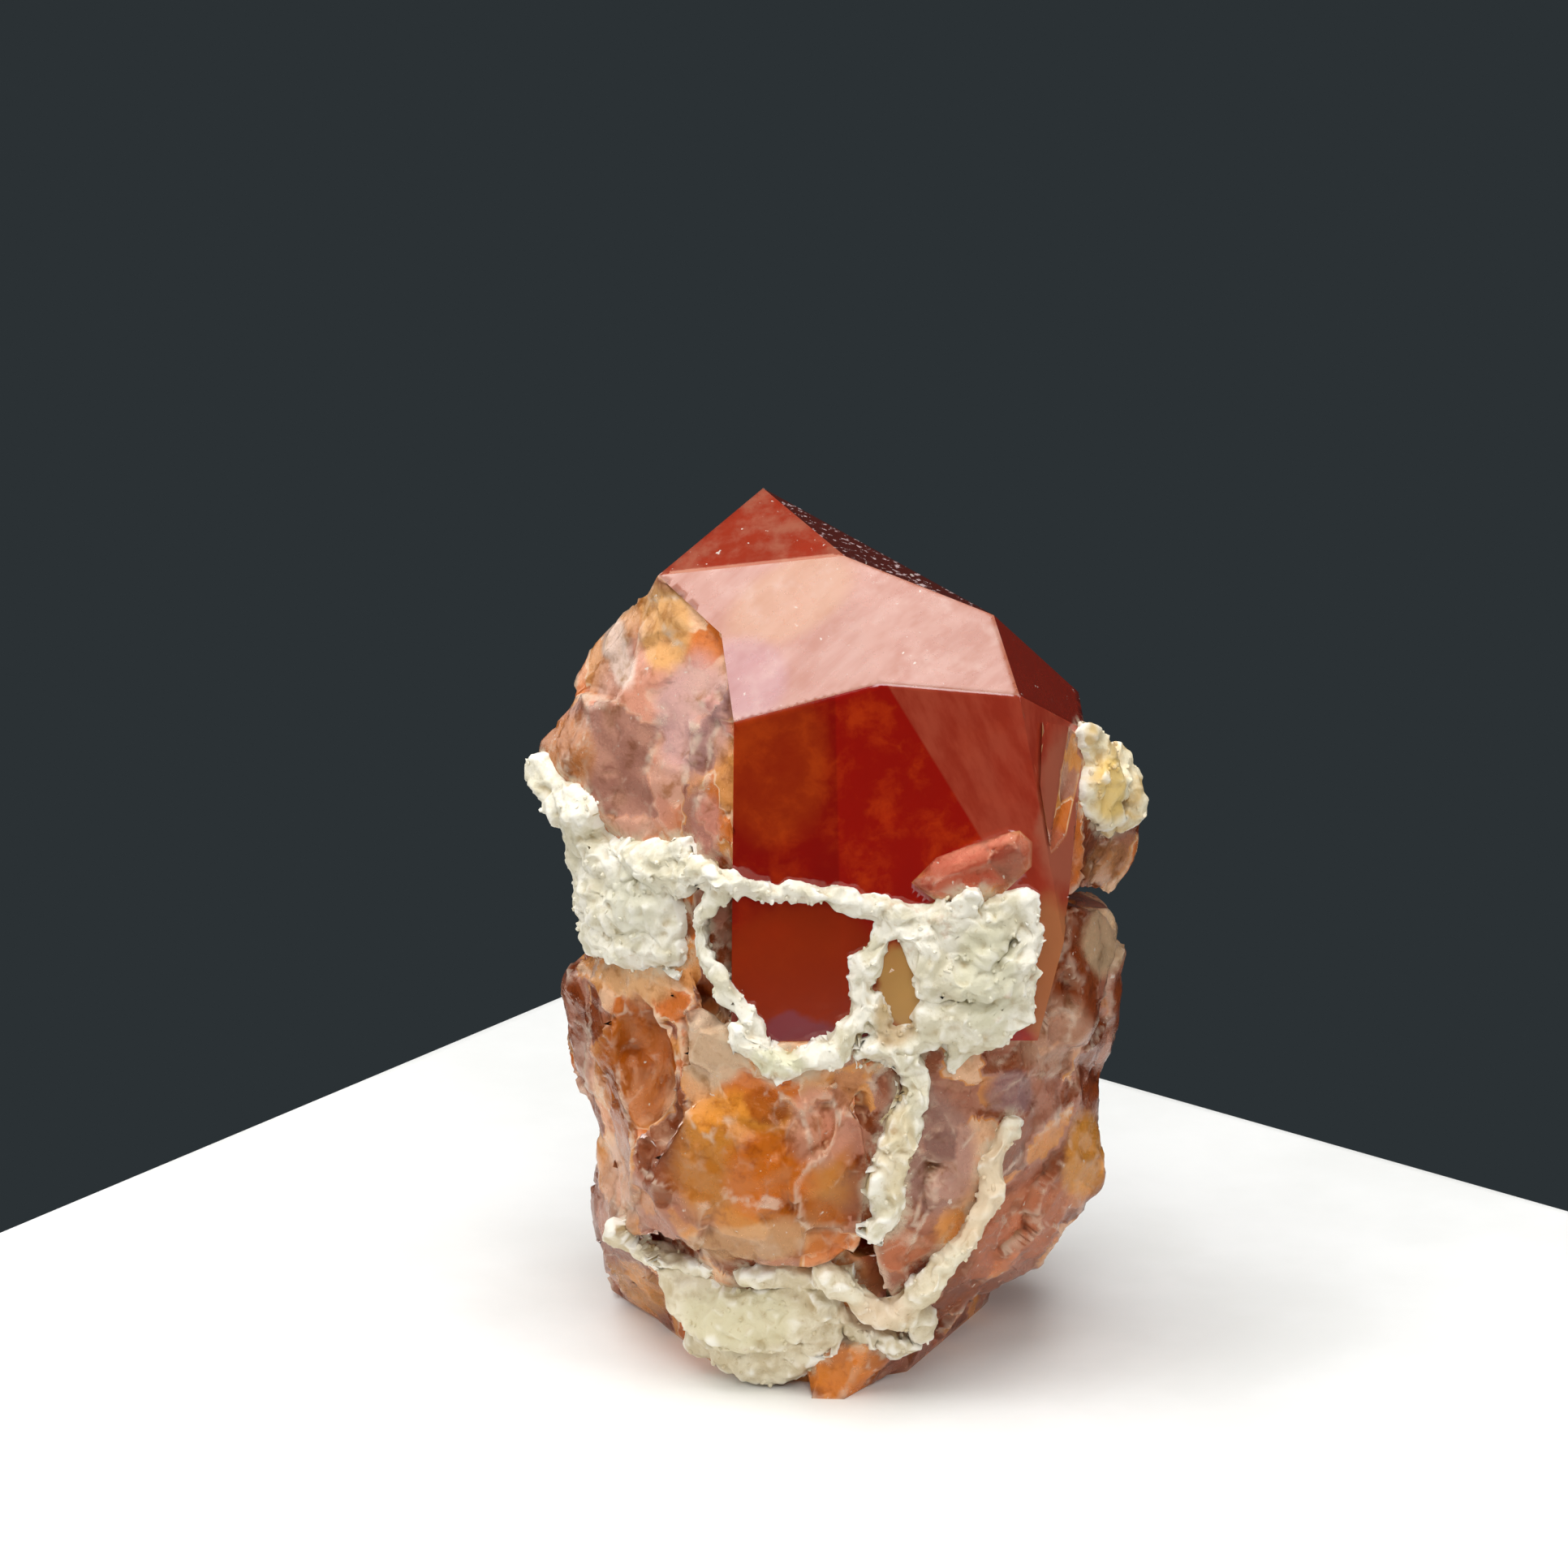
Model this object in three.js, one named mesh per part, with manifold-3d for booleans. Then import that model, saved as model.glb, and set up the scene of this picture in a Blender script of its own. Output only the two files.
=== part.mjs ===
// A thumbnail specimen of spessartine garnet: one gemmy crystal on a mass of intergrown garnet,
// with a cream albite crust along the seam between them. Millimetres, +Z up, the front towards -Y.
import * as THREE from "three";
import { ConvexGeometry } from "three/addons/geometries/ConvexGeometry.js";
import { mergeVertices } from "three/addons/utils/BufferGeometryUtils.js";
import Module from "manifold-3d";

const wasm = await Module();
wasm.setup();

// Driving dimensions, in millimetres.
const SPECIMEN_HEIGHT = 18.4; // tip of the crystal above the flat that it stands on
const SEAM_GAP = 0.03; // parting between the garnet and the crust that grew on it
const CRUST_PROUD = 0.2; // least height of the crust above the garnet
const CRUST_SWELL = 0.45; // further height of a crust lump, as a share of its radius
const CRUST_CRAGGINESS = 0.35; // how unevenly a crust lump's corners stand out
const LARGE_LUMP = 0.4; // radius above which a crust lump is rounder
const CRUST_SEED = 41;
const CHIP_RAGGEDNESS = 0.3; // how unevenly a chip's corners stand in
const CHIP_SEED = 7;
const FRONT_TILT = THREE.MathUtils.degToRad(19.5); // a front point's rise is read from this far above level
const SIGHT_DEPTH = -20; // depth well in front of the specimen, where the front view's sight lines start
const CUT_BLOCK = 60; // side of the block that holds everything above the flat
const TOUCH = 1e-6; // distances under this count as none
const LEHMER_FACTOR = 16807;
const LEHMER_PRIME = 2147483647;

const GARNET_COLOUR = 0x8f2a10;
const GARNET_ROUGHNESS = 0.25;
const ALBITE_COLOUR = 0xd9d2ba;
const ALBITE_ROUGHNESS = 0.75;

// A front point is [across, rise, depth]: rise is up the tilted front view, depth is away from the viewer.
function frontPoint([across, rise, depth]) {
  const height = (rise - Math.sin(FRONT_TILT) * depth) / Math.cos(FRONT_TILT);
  return new THREE.Vector3(across, depth, height);
}

// The corners of the gem crystal's front, as front points.
const CORNER = {
  tip: [-1.55, 17.53, 0.6],
  browLeft: [-3.7, 15.71, -1.24],
  browMiddle: [0.13, 16.09, -1.84],
  browRight: [3.16, 14.88, -2.8],
  cheekRight: [3.67, 13.23, -4.31],
  chinMiddle: [0.81, 13.47, -4.24],
  chinLeft: [-2.14, 12.69, -4.2],
  notchLeft: [-2.22, 14.33, -2.78],
  sideRight: [4.93, 13.32, -1.58],
  windowFoot: [-2.3, 7.6, -4.45],
  windowFloor: [-0.6, 6.1, -4.2],
  behindNotch: [-3.1, 13.0, -1.2],
  backRight: [2.9, 14.8, 3.4],
  backLeft: [-3.7, 14.6, 3.4],
  backLow: [-2.6, 9.5, 4.6],
};

// Flat faces of the gem crystal, each through three corners.
const FACE = {
  leftSlope: ["chinLeft", "chinMiddle", "browLeft"],
  rightSlope: ["chinMiddle", "browMiddle", "cheekRight"],
  window: ["chinLeft", "chinMiddle", "windowFoot"],
  windowRight: ["chinMiddle", "cheekRight", "windowFoot"],
  leftRoof: ["browLeft", "browMiddle", "tip"],
  rightRoof: ["browMiddle", "browRight", "tip"],
  rightSide: ["browRight", "cheekRight", "sideRight"],
  backRoofRight: ["tip", "browRight", "backRight"],
  backRoofLeft: ["tip", "browLeft", "backLeft"],
  backRight: ["browRight", "sideRight", "backRight"],
  underBrow: ["browLeft", "notchLeft", "behindNotch"],
};
const WINDOW_BODY_FACES = [
  "leftSlope", "rightSlope", "window", "windowRight", "leftRoof", "rightRoof", "rightSide",
  "backRoofRight", "backRoofLeft", "backRight",
];
const BROW_BODY_FACES = [
  "leftSlope", "rightSlope", "leftRoof", "rightRoof", "window", "backRoofRight", "backRoofLeft",
  "underBrow",
];

// A front point inside each body.
const WINDOW_BODY_MIDDLE = [0.3, 12, -1];
const BROW_BODY_MIDDLE = [-1.2, 15.2, 0.2];

// Faces given by the way they look: [azimuth from the front, elevation, a corner that they pass through].
const WINDOW_BODY_SIDES = [
  [-80, 1, "chinLeft"],
  [180, -8, "backLow"],
  [-125, -5, "backLow"],
  [105, -14, "sideRight"],
  [58, 10, "cheekRight"],
  [0, -62, "windowFloor"],
  [0, -90, "windowFloor"],
];
const BROW_BODY_SIDES = [
  [90, 0, "notchLeft"],
  [0, -90, "behindNotch"],
  [180, 0, "backLeft"],
];

// Broken and intergrown garnet, each lump the hull of its front points and of its back points [x, y, z].
const LUMPS = {
  leftShoulder: {
    front: [
      [-3.7, 15.71, -1.2], [-4.07, 15.17, -0.3], [-5.05, 14.41, 0.2], [-5.59, 13.4, 0.3],
      [-6.35, 12.26, 0.2], [-6.4, 11.72, 0.3], [-5.76, 10.79, 0.0], [-3.0, 15.02, -1.85],
      [-2.0, 14.3, -2.6], [-1.9, 12.8, -3.95], [-1.95, 12.2, -4.15], [-2.0, 11.2, -4.2],
      [-2.05, 10.2, -4.2], [-2.1, 9.6, -4.15], [-3.06, 11.46, -3.55], [-3.2, 9.7, -3.3],
      [-3.91, 9.87, -2.9], [-4.92, 10.71, -2.2], [-3.91, 13.74, -2.1], [-5.25, 12.05, -1.6],
    ],
    back: [[-3.2, 1.6, 16.2], [-4.9, 2.6, 13.0], [-5.6, 2.2, 11.4], [-4.4, 3.6, 10.5], [-1.5, 3.8, 15.2]],
  },
  waist: {
    front: [
      [-5.0, 10.2, -1.5], [-5.12, 9.19, -1.0], [-5.0, 7.85, -1.5], [-2.9, 10.03, -3.8],
      [-2.73, 7.51, -3.95], [-2.22, 5.82, -4.25], [1.14, 9.36, -4.0], [4.01, 10.37, -3.4],
      [4.34, 9.19, -3.0], [4.34, 5.99, -3.3], [0.47, 5.4, -4.4], [-4.92, 5.82, -1.5],
    ],
    back: [
      [-4.8, 3.0, 6.0], [-4.9, 3.2, 10.6], [-1.0, 4.6, 11.0], [3.6, 3.6, 11.2], [4.8, 2.6, 6.5],
      [0.5, 5.0, 5.5],
    ],
  },
  rightMiddle: {
    front: [
      [4.09, 9.02, -3.0], [4.85, 8.94, -2.6], [5.77, 8.86, -0.8], [6.08, 8.27, -0.5],
      [6.03, 7.34, -0.3], [5.91, 5.99, -0.2], [5.56, 5.24, -0.5], [3.92, 7.85, -3.4],
      [4.01, 5.82, -3.5], [5.02, 7.85, -2.6], [5.19, 6.16, -2.4],
    ],
    back: [[5.4, 2.4, 9.0], [5.5, 2.8, 6.0], [3.8, 4.2, 7.5]],
  },
  rightKnob: {
    front: [
      [4.93, 12.64, -1.2], [5.27, 12.64, -0.6], [5.86, 11.89, -0.2], [6.36, 11.13, 0.0],
      [6.45, 10.62, 0.0], [6.33, 9.95, 0.0], [5.94, 9.44, -0.3], [5.72, 9.06, -0.5],
      [5.02, 12.22, -1.8], [5.19, 10.88, -2.2], [4.51, 9.87, -2.8], [5.02, 9.19, -2.4],
      [4.34, 10.88, -3.0], [3.92, 10.37, -3.5], [4.01, 9.36, -3.4],
    ],
    back: [[5.2, 1.8, 12.4], [5.7, 2.2, 10.6], [4.2, 3.4, 11.6]],
  },
  lowerLeft: {
    front: [
      [-5.29, 7.98, -0.8], [-5.64, 7.68, -0.8], [-5.77, 7.26, -0.5], [-5.76, 6.46, -0.3],
      [-5.56, 5.62, -0.3], [-5.17, 4.65, -0.6], [-4.58, 8.01, -2.4], [-3.06, 7.68, -3.7],
      [-2.73, 6.84, -4.2], [-3.06, 4.14, -4.4], [-3.91, 3.8, -3.9], [-4.92, 7.0, -2.3],
      [-5.0, 4.14, -1.2], [-4.58, 2.96, -2.0],
    ],
    back: [[-5.1, 2.6, 7.6], [-5.0, 3.0, 5.0], [-3.6, 4.2, 6.4]],
  },
  leftFlank: {
    front: [
      [-4.97, 4.14, -0.6], [-5.13, 3.47, -0.5], [-5.22, 2.46, -0.5], [-5.13, 1.78, -0.5],
      [-3.91, 3.8, -3.6], [-3.91, 2.96, -3.9], [-3.74, 1.95, -3.9], [-4.58, 2.12, -2.6],
    ],
    back: [[-4.8, 2.8, 4.6], [-4.6, 3.0, 2.2], [-3.4, 4.2, 3.6]],
  },
  bottomLeft: {
    front: [
      [-5.13, 1.95, 0.5], [-5.03, 0.98, 1.2], [-4.66, 0.61, 1.0], [-3.65, 0.08, 0.2],
      [-3.32, 0.35, -0.9], [-3.57, 1.45, -2.8], [-4.24, 2.12, -2.6], [-4.75, 1.95, -1.2],
    ],
    back: [[-4.6, 2.9, 0.4], [-3.6, 4.0, 1.0], [-4.4, 2.4, -0.3]],
  },
  centreBulge: {
    front: [
      [-3.91, 3.47, -4.2], [-3.06, 4.98, -4.6], [-1.72, 5.07, -4.8], [-0.54, 5.4, -4.8],
      [0.39, 5.15, -4.8], [0.61, 3.47, -5.0], [0.47, 1.78, -4.9], [-0.54, 1.36, -4.9],
      [-1.72, 1.45, -4.8], [-3.06, 1.78, -4.5], [-3.91, 2.79, -4.3], [-1.38, 3.5, -5.3],
      [-0.54, 1.78, -5.1], [-2.4, 3.7, -5.1], [-0.4, 3.5, -5.22], [-1.4, 2.4, -5.25],
    ],
    back: [[-3.4, -2.2, 6.0], [0.2, -2.4, 6.2], [0.2, -2.4, 3.0], [-3.4, -2.2, 3.0]],
  },
  lowerRight: {
    front: [
      [1.48, 5.66, -4.3], [2.32, 5.99, -4.2], [3.92, 5.99, -3.4], [4.85, 5.82, -2.2],
      [5.61, 5.15, -0.8], [5.62, 4.14, -0.8], [5.66, 3.05, -0.9], [5.1, 2.54, -1.4],
      [4.51, 1.78, -1.6], [4.09, 1.11, -1.5], [3.33, 0.69, -1.8], [2.66, 0.27, -2.2],
      [2.15, 0.35, -2.8], [1.48, 4.14, -4.8], [1.82, 2.46, -4.9], [0.64, 1.95, -4.8],
      [0.81, 0.94, -4.7], [3.16, 3.64, -4.2], [3.67, 4.48, -3.7], [4.68, 4.48, -2.6],
      [2.49, 1.78, -4.3],
    ],
    back: [[5.2, 2.4, 5.6], [4.9, 2.6, 2.4], [3.4, 4.4, 4.0], [3.2, 2.6, 0.9]],
  },
  rightCheek: {
    front: [
      [4.15, 12.7, -3.9], [4.7, 12.6, -3.2], [5.25, 12.3, -2.1], [5.65, 11.7, -1.7],
      [5.6, 10.8, -2.0], [5.3, 9.7, -2.5], [4.9, 9.15, -3.1], [4.45, 9.1, -4.0],
      [4.3, 10.2, -4.48], [4.1, 11.4, -4.4],
    ],
    back: [[4.4, -0.5, 12.6], [4.6, -0.5, 10.6]],
  },
  seamBed: {
    front: [
      [-2.3, 6.1, -4.7], [-0.9, 6.15, -4.78], [0.45, 6.2, -4.78], [-2.8, 5.0, -4.6],
      [-0.9, 5.3, -4.85], [0.7, 5.1, -4.8],
    ],
    back: [[-2.4, -3.0, 7.6], [0.4, -3.0, 7.6], [-2.4, -3.0, 6.2], [0.4, -3.0, 6.2]],
  },
  bulgeGap: {
    front: [
      [0.0, 5.4, -4.7], [0.0, 4.4, -4.7], [1.5, 4.9, -4.6], [0.55, 3.5, -4.85], [1.6, 3.4, -4.65],
      [0.5, 2.2, -4.8], [1.5, 2.1, -4.65],
    ],
    back: [[0.4, -3.0, 6.6], [1.4, -3.0, 6.6], [0.4, -3.0, 4.0], [1.4, -3.0, 4.0]],
  },
  underWindow: {
    front: [
      [1.2, 6.4, -4.45], [2.5, 6.5, -4.3], [3.7, 6.4, -3.7], [1.3, 5.3, -4.55], [2.6, 5.3, -4.4],
      [3.8, 5.5, -3.55],
    ],
    back: [[1.4, -2.6, 7.6], [3.4, -2.2, 7.6], [1.4, -2.6, 5.8], [3.4, -2.2, 5.8]],
  },
  flakeGap: {
    front: [
      [-3.45, 5.8, -4.2], [-2.3, 5.7, -4.5], [-3.5, 4.5, -4.15], [-2.3, 4.6, -4.55], [-2.9, 5.2, -4.55],
    ],
    back: [[-3.2, -2.6, 7.0], [-2.4, -2.8, 7.0], [-3.2, -2.6, 5.4], [-2.4, -2.8, 5.4]],
  },
  flankGap: {
    front: [
      [-4.3, 4.2, -3.7], [-3.3, 4.4, -4.35], [-4.35, 2.2, -3.35], [-3.3, 1.9, -4.3], [-3.85, 3.1, -4.15],
    ],
    back: [[-4.0, -1.6, 5.2], [-3.2, -2.4, 5.2], [-4.0, -1.6, 3.0], [-3.2, -2.4, 3.0]],
  },
  seamCell: {
    front: [
      [0.2, 5.9, -4.5], [1.25, 5.9, -4.5], [1.35, 4.9, -4.75], [0.75, 4.1, -4.7], [0.45, 5.1, -4.8],
      [0.9, 5.3, -4.95],
    ],
    back: [[0.2, -2.6, 7.6], [1.3, -2.6, 7.6], [0.8, -2.6, 4.6]],
  },
  seamFlake: {
    front: [
      [-3.4, 7.0, -4.1], [-2.5, 6.9, -4.4], [-1.9, 6.0, -4.6], [-2.3, 5.4, -4.75], [-3.3, 5.6, -4.5],
      [-3.0, 6.3, -4.8],
    ],
    back: [[-2.8, -3.4, 8.2], [-2.4, -3.4, 7.0]],
  },
  windowLedge: {
    front: [
      [1.48, 9.42, -4.45], [2.0, 9.95, -4.45], [3.67, 10.54, -4.4], [4.1, 10.4, -4.2],
      [1.7, 9.2, -4.75], [2.1, 9.6, -4.85], [3.8, 10.1, -4.7], [4.1, 9.3, -4.2], [2.6, 8.9, -4.7],
    ],
    back: [[1.8, -3.6, 11.2], [3.8, -3.2, 11.6], [3.0, -3.2, 10.2]],
  },
  frontFoot: {
    front: [
      [-0.79, -0.66, -3.2], [-0.54, -1.33, -3.95], [0.13, -1.33, -4.0], [0.81, -0.99, -3.0],
      [1.48, -0.74, -2.4], [1.99, -0.07, -1.5], [0.47, -0.15, -4.0], [1.65, 0.1, -3.6],
      [-0.37, -0.24, -3.8],
    ],
    back: [[0.4, -1.0, 1.4], [1.2, -1.0, 0.6], [-0.4, -1.4, 0.4]],
  },
  root: {
    front: [],
    back: [
      [-2.2, -2.4, -0.4], [-3.5, 0.2, -0.4], [-4.3, 2.2, -0.4], [-3.0, 3.8, -0.4], [0.5, 4.4, -0.4],
      [2.9, 3.6, -0.4], [3.0, 1.6, -0.4], [1.7, -0.6, -0.4], [1.2, -2.4, -0.4], [-0.5, -2.9, -0.4],
      [-4.5, -1.5, 3.4], [-4.9, 2.5, 3.4], [-3.0, 4.6, 3.4], [1.0, 5.0, 3.4], [4.2, 4.0, 3.4],
      [4.8, 0.5, 3.4], [3.5, -3.0, 3.4], [0.5, -4.4, 3.4], [-2.5, -4.1, 3.4],
    ],
  },
  core: {
    front: [],
    back: [
      [-3.6, -2.4, 2.0], [3.4, -2.6, 2.0], [-3.8, 3.4, 2.0], [3.8, 3.6, 2.0],
      [-3.9, -2.2, 12.0], [3.6, -2.4, 12.0], [-3.6, 3.2, 12.6], [3.4, 3.2, 12.6],
    ],
  },
  backMass: {
    front: [],
    back: [
      [-4.4, 3.4, 4.0], [-5.0, 2.2, 8.0], [-4.6, 3.4, 11.0], [-2.6, 4.9, 8.6], [0.8, 5.5, 7.0],
      [3.4, 4.7, 9.0], [4.8, 2.5, 6.0], [4.4, 3.1, 11.2], [0.0, 4.7, 12.6], [-0.5, 5.0, 4.4],
      [2.8, 4.6, 4.4], [0, -2, 8],
    ],
  },
};

// The albite crust: runs of lumps [across, rise, radius], each run joined from lump to lump. A lump lies
// on the garnet's front, or at the depth that is its fourth number where it reaches past the edge.
const CRUST = {
  albite_seam: [
    [
      [-6.05, 11.65, 0.42, -0.3], [-5.6, 11.15, 0.42, -0.8], [-5.2, 10.9, 0.46], [-5.15, 10.25, 0.42, -0.9],
      [-4.95, 9.6, 0.46, -1.2], [-5.15, 8.85, 0.3, -0.8], [-4.85, 8.35, 0.5], [-4.1, 8.2, 0.62],
      [-3.4, 8.2, 0.5],
    ],
    [[-5.0, 10.2, 0.45], [-4.4, 9.8, 0.6], [-3.7, 9.8, 0.58], [-3.1, 10.1, 0.3]],
    [[-5.0, 9.3, 0.5], [-4.3, 9.0, 0.75], [-3.55, 9.0, 0.68], [-3.45, 8.3, 0.55]],
    [
      [-3.6, 9.7, 0.5], [-2.9, 9.6, 0.34, -3.95], [-2.35, 9.38, 0.26, -4.5], [-1.4, 9.27, 0.18],
      [-0.55, 9.23, 0.22], [0.3, 9.05, 0.3], [1.0, 8.8, 0.38], [1.65, 8.5, 0.44], [2.25, 8.85, 0.4],
      [2.68, 9.1, 0.34],
    ],
    [
      [-2.45, 9.3, 0.2, -4.4], [-2.85, 8.55, 0.17, -4.0], [-2.75, 7.85, 0.17, -4.15],
      [-2.25, 7.1, 0.2, -4.55], [-1.7, 6.45, 0.24, -4.6],
    ],
    [
      [-2.1, 6.35, 0.24, -4.75], [-1.55, 5.9, 0.34, -4.8], [-1.1, 5.6, 0.34, -4.85],
      [-0.5, 5.85, 0.28, -4.82], [0.05, 6.05, 0.28, -4.82], [0.4, 6.6, 0.25], [0.5, 7.5, 0.25], [0.75, 8.15, 0.3], [1.1, 8.7, 0.35],
    ],
    [[2.2, 8.1, 0.4], [2.9, 8.05, 0.45]],
    [[2.25, 8.85, 0.4], [3.05, 8.5, 0.55], [3.75, 8.95, 0.36], [3.9, 8.2, 0.36], [3.55, 7.5, 0.55]],
    [
      [1.65, 8.5, 0.44], [2.0, 7.5, 0.45], [2.7, 7.5, 0.65], [3.5, 7.45, 0.55], [3.4, 6.7, 0.5],
      [2.7, 6.5, 0.58],
    ],
    [
      [0.7, 7.0, 0.28], [0.95, 6.25, 0.38, -4.55], [1.65, 6.15, 0.34, -4.5], [2.0, 6.7, 0.42],
      [2.7, 6.5, 0.5], [2.3, 5.75, 0.24, -4.45],
    ],
    [
      [0.3, 5.95, 0.28, -4.6], [0.75, 5.95, 0.26, -4.65], [1.5, 5.85, 0.28, -4.5], [1.6, 5.0, 0.26, -4.7],
      [1.3, 4.15, 0.42, -4.7], [0.9, 3.45, 0.42, -4.7], [1.05, 2.65, 0.4, -4.7], [0.75, 2.25, 0.28, -4.8],
    ],
  ],
  albite_knob: [
    [[5.05, 12.45, 0.26], [5.3, 12.0, 0.42], [5.35, 11.4, 0.48], [5.4, 10.95, 0.42], [5.6, 10.6, 0.24]],
    [[5.55, 12.0, 0.36], [5.85, 11.45, 0.42], [6.05, 11.0, 0.32], [5.85, 10.75, 0.24]],
    [[5.3, 12.0, 0.4], [5.1, 11.5, 0.4], [5.15, 11.0, 0.34], [5.4, 10.95, 0.3]],
    [[5.35, 11.4, 0.4], [5.85, 11.45, 0.4]],
  ],
  albite_foot: [
    [
      [-4.6, 2.15, 0.24], [-4.05, 1.7, 0.26], [-3.05, 1.45, 0.24], [-1.7, 1.3, 0.22], [-0.55, 1.25, 0.22],
      [0.15, 1.35, 0.24],
    ],
    [[-3.05, 1.1, 0.6], [-2.2, 0.55, 0.85], [-1.2, 0.5, 0.85], [-0.5, 0.8, 0.6], [-0.6, -0.05, 0.55]],
    [[-2.6, 0.0, 0.6], [-1.7, -0.35, 0.62], [-0.8, -0.25, 0.5], [-1.2, 0.5, 0.8]],
    [[-0.7, 1.1, 0.22], [-0.2, 0.75, 0.24], [0.45, 0.15, 0.26], [1.1, -0.15, 0.26], [1.6, -0.15, 0.2]],
    [
      [-0.3, 1.25, 0.24, -4.6], [0.3, 0.95, 0.28, -4.5], [0.85, 0.5, 0.28, -4.3], [1.35, 0.65, 0.36, -4.2],
      [1.85, 0.4, 0.32, -3.8], [1.7, 0.1, 0.24, -3.7],
    ],
    [
      [1.35, 0.7, 0.34, -4.3], [1.9, 1.1, 0.26, -4.7], [2.3, 1.55, 0.2, -4.55], [2.75, 2.2, 0.2, -4.45],
      [3.2, 2.95, 0.2, -4.3], [3.15, 3.65, 0.2, -4.3], [3.6, 4.45, 0.2, -3.85],
    ],
  ],
};

// Hollows where chips have come away: [across, rise, half width, half height, depth].
const HOLLOWS = [
  [-4.15, 5.65, 0.8, 1.35, 0.7],
  [-3.6, 4.5, 0.5, 0.6, 0.35],
];

// Well-formed crystals that stand out of the back: centre, radius, turn about Z and tilt in degrees.
const BACK_CRYSTALS = [
  { centre: [1.6, 3.4, 10.2], radius: 2.7, turn: 20, tilt: 15 },
  { centre: [-2.4, 3.2, 5.6], radius: 2.8, turn: -25, tilt: 40 },
  { centre: [2.6, 3.7, 4.2], radius: 2.1, turn: 50, tilt: 25 },
  { centre: [-0.6, 3.0, 13.0], radius: 2.1, turn: 35, tilt: 60 },
  { centre: [-3.3, 2.7, 9.4], radius: 1.7, turn: 10, tilt: 30 },
  { centre: [3.4, 2.6, 7.2], radius: 1.8, turn: 70, tilt: 10 },
  { centre: [-2.3, 3.0, 1.8], radius: 1.9, turn: 15, tilt: 50 },
  { centre: [1.0, 3.7, 1.6], radius: 1.6, turn: 60, tilt: 35 },
];

function asSolid(geometry) {
  geometry.deleteAttribute("normal");
  geometry.deleteAttribute("uv");
  const merged = mergeVertices(geometry, 1e-5);
  const vertProperties = new Float32Array(merged.attributes.position.array);
  const triVerts = new Uint32Array(merged.index.array);
  return new wasm.Manifold(new wasm.Mesh({ numProp: 3, vertProperties, triVerts }));
}

function asGeometry(solid) {
  const { vertProperties, triVerts } = solid.getMesh();
  const geometry = new THREE.BufferGeometry();
  geometry.setAttribute("position", new THREE.BufferAttribute(new Float32Array(vertProperties), 3));
  geometry.setIndex(new THREE.BufferAttribute(new Uint32Array(triVerts), 1));
  geometry.computeVertexNormals();
  return geometry;
}

function middleOf(points) {
  const middle = new THREE.Vector3();
  for (const point of points) {
    middle.add(point);
  }
  return middle.divideScalar(points.length);
}

// The hull of some points, each moved away from their middle by the margin.
function hullSolid(points, margin = 0) {
  const middle = middleOf(points);
  const moved = [];
  for (const point of points) {
    const outward = point.clone().sub(middle);
    outward.setLength(outward.length() + margin);
    moved.push(outward.add(middle));
  }
  return asSolid(new ConvexGeometry(moved));
}

// Every corner of the solid that the planes bound: where three planes meet inside all the others.
function planeCorners(planes) {
  const corners = [];
  const inside = (point) => planes.every((plane) => plane.distanceToPoint(point) < TOUCH);
  for (let i = 0; i < planes.length; i++) {
    for (let j = i + 1; j < planes.length; j++) {
      for (let k = j + 1; k < planes.length; k++) {
        const point = meetingPoint(planes[i], planes[j], planes[k]);
        if (point && inside(point)) {
          corners.push(point);
        }
      }
    }
  }
  return corners;
}

function meetingPoint(a, b, c) {
  const bc = b.normal.clone().cross(c.normal);
  const ca = c.normal.clone().cross(a.normal);
  const ab = a.normal.clone().cross(b.normal);
  const volume = a.normal.dot(bc);
  if (Math.abs(volume) < TOUCH) {
    return null;
  }
  const point = bc.multiplyScalar(-a.constant);
  point.addScaledVector(ca, -b.constant);
  point.addScaledVector(ab, -c.constant);
  return point.divideScalar(volume);
}

function facePlane(cornerNames, inner) {
  const [a, b, c] = cornerNames.map((name) => frontPoint(CORNER[name]));
  const plane = new THREE.Plane().setFromCoplanarPoints(a, b, c);
  return plane.distanceToPoint(inner) > 0 ? plane.negate() : plane;
}

function turnedPlane([azimuth, elevation, cornerName]) {
  const flat = Math.cos(THREE.MathUtils.degToRad(elevation));
  const turn = THREE.MathUtils.degToRad(azimuth);
  const rise = Math.sin(THREE.MathUtils.degToRad(elevation));
  const normal = new THREE.Vector3(Math.sin(turn) * flat, -Math.cos(turn) * flat, rise);
  return new THREE.Plane().setFromNormalAndCoplanarPoint(normal, frontPoint(CORNER[cornerName]));
}

function facetedSolid(faceNames, sides, middle, margin) {
  const inner = frontPoint(middle);
  const planes = faceNames.map((name) => facePlane(FACE[name], inner));
  planes.push(...sides.map(turnedPlane));
  for (const plane of planes) {
    plane.constant -= margin;
  }
  return asSolid(new ConvexGeometry(planeCorners(planes)));
}

// The gem crystal: the body behind the window, and the brow that overhangs the broken left side.
function gemSolid(margin) {
  const windowBody = facetedSolid(WINDOW_BODY_FACES, WINDOW_BODY_SIDES, WINDOW_BODY_MIDDLE, margin);
  const browBody = facetedSolid(BROW_BODY_FACES, BROW_BODY_SIDES, BROW_BODY_MIDDLE, margin);
  return windowBody.add(browBody);
}

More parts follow.
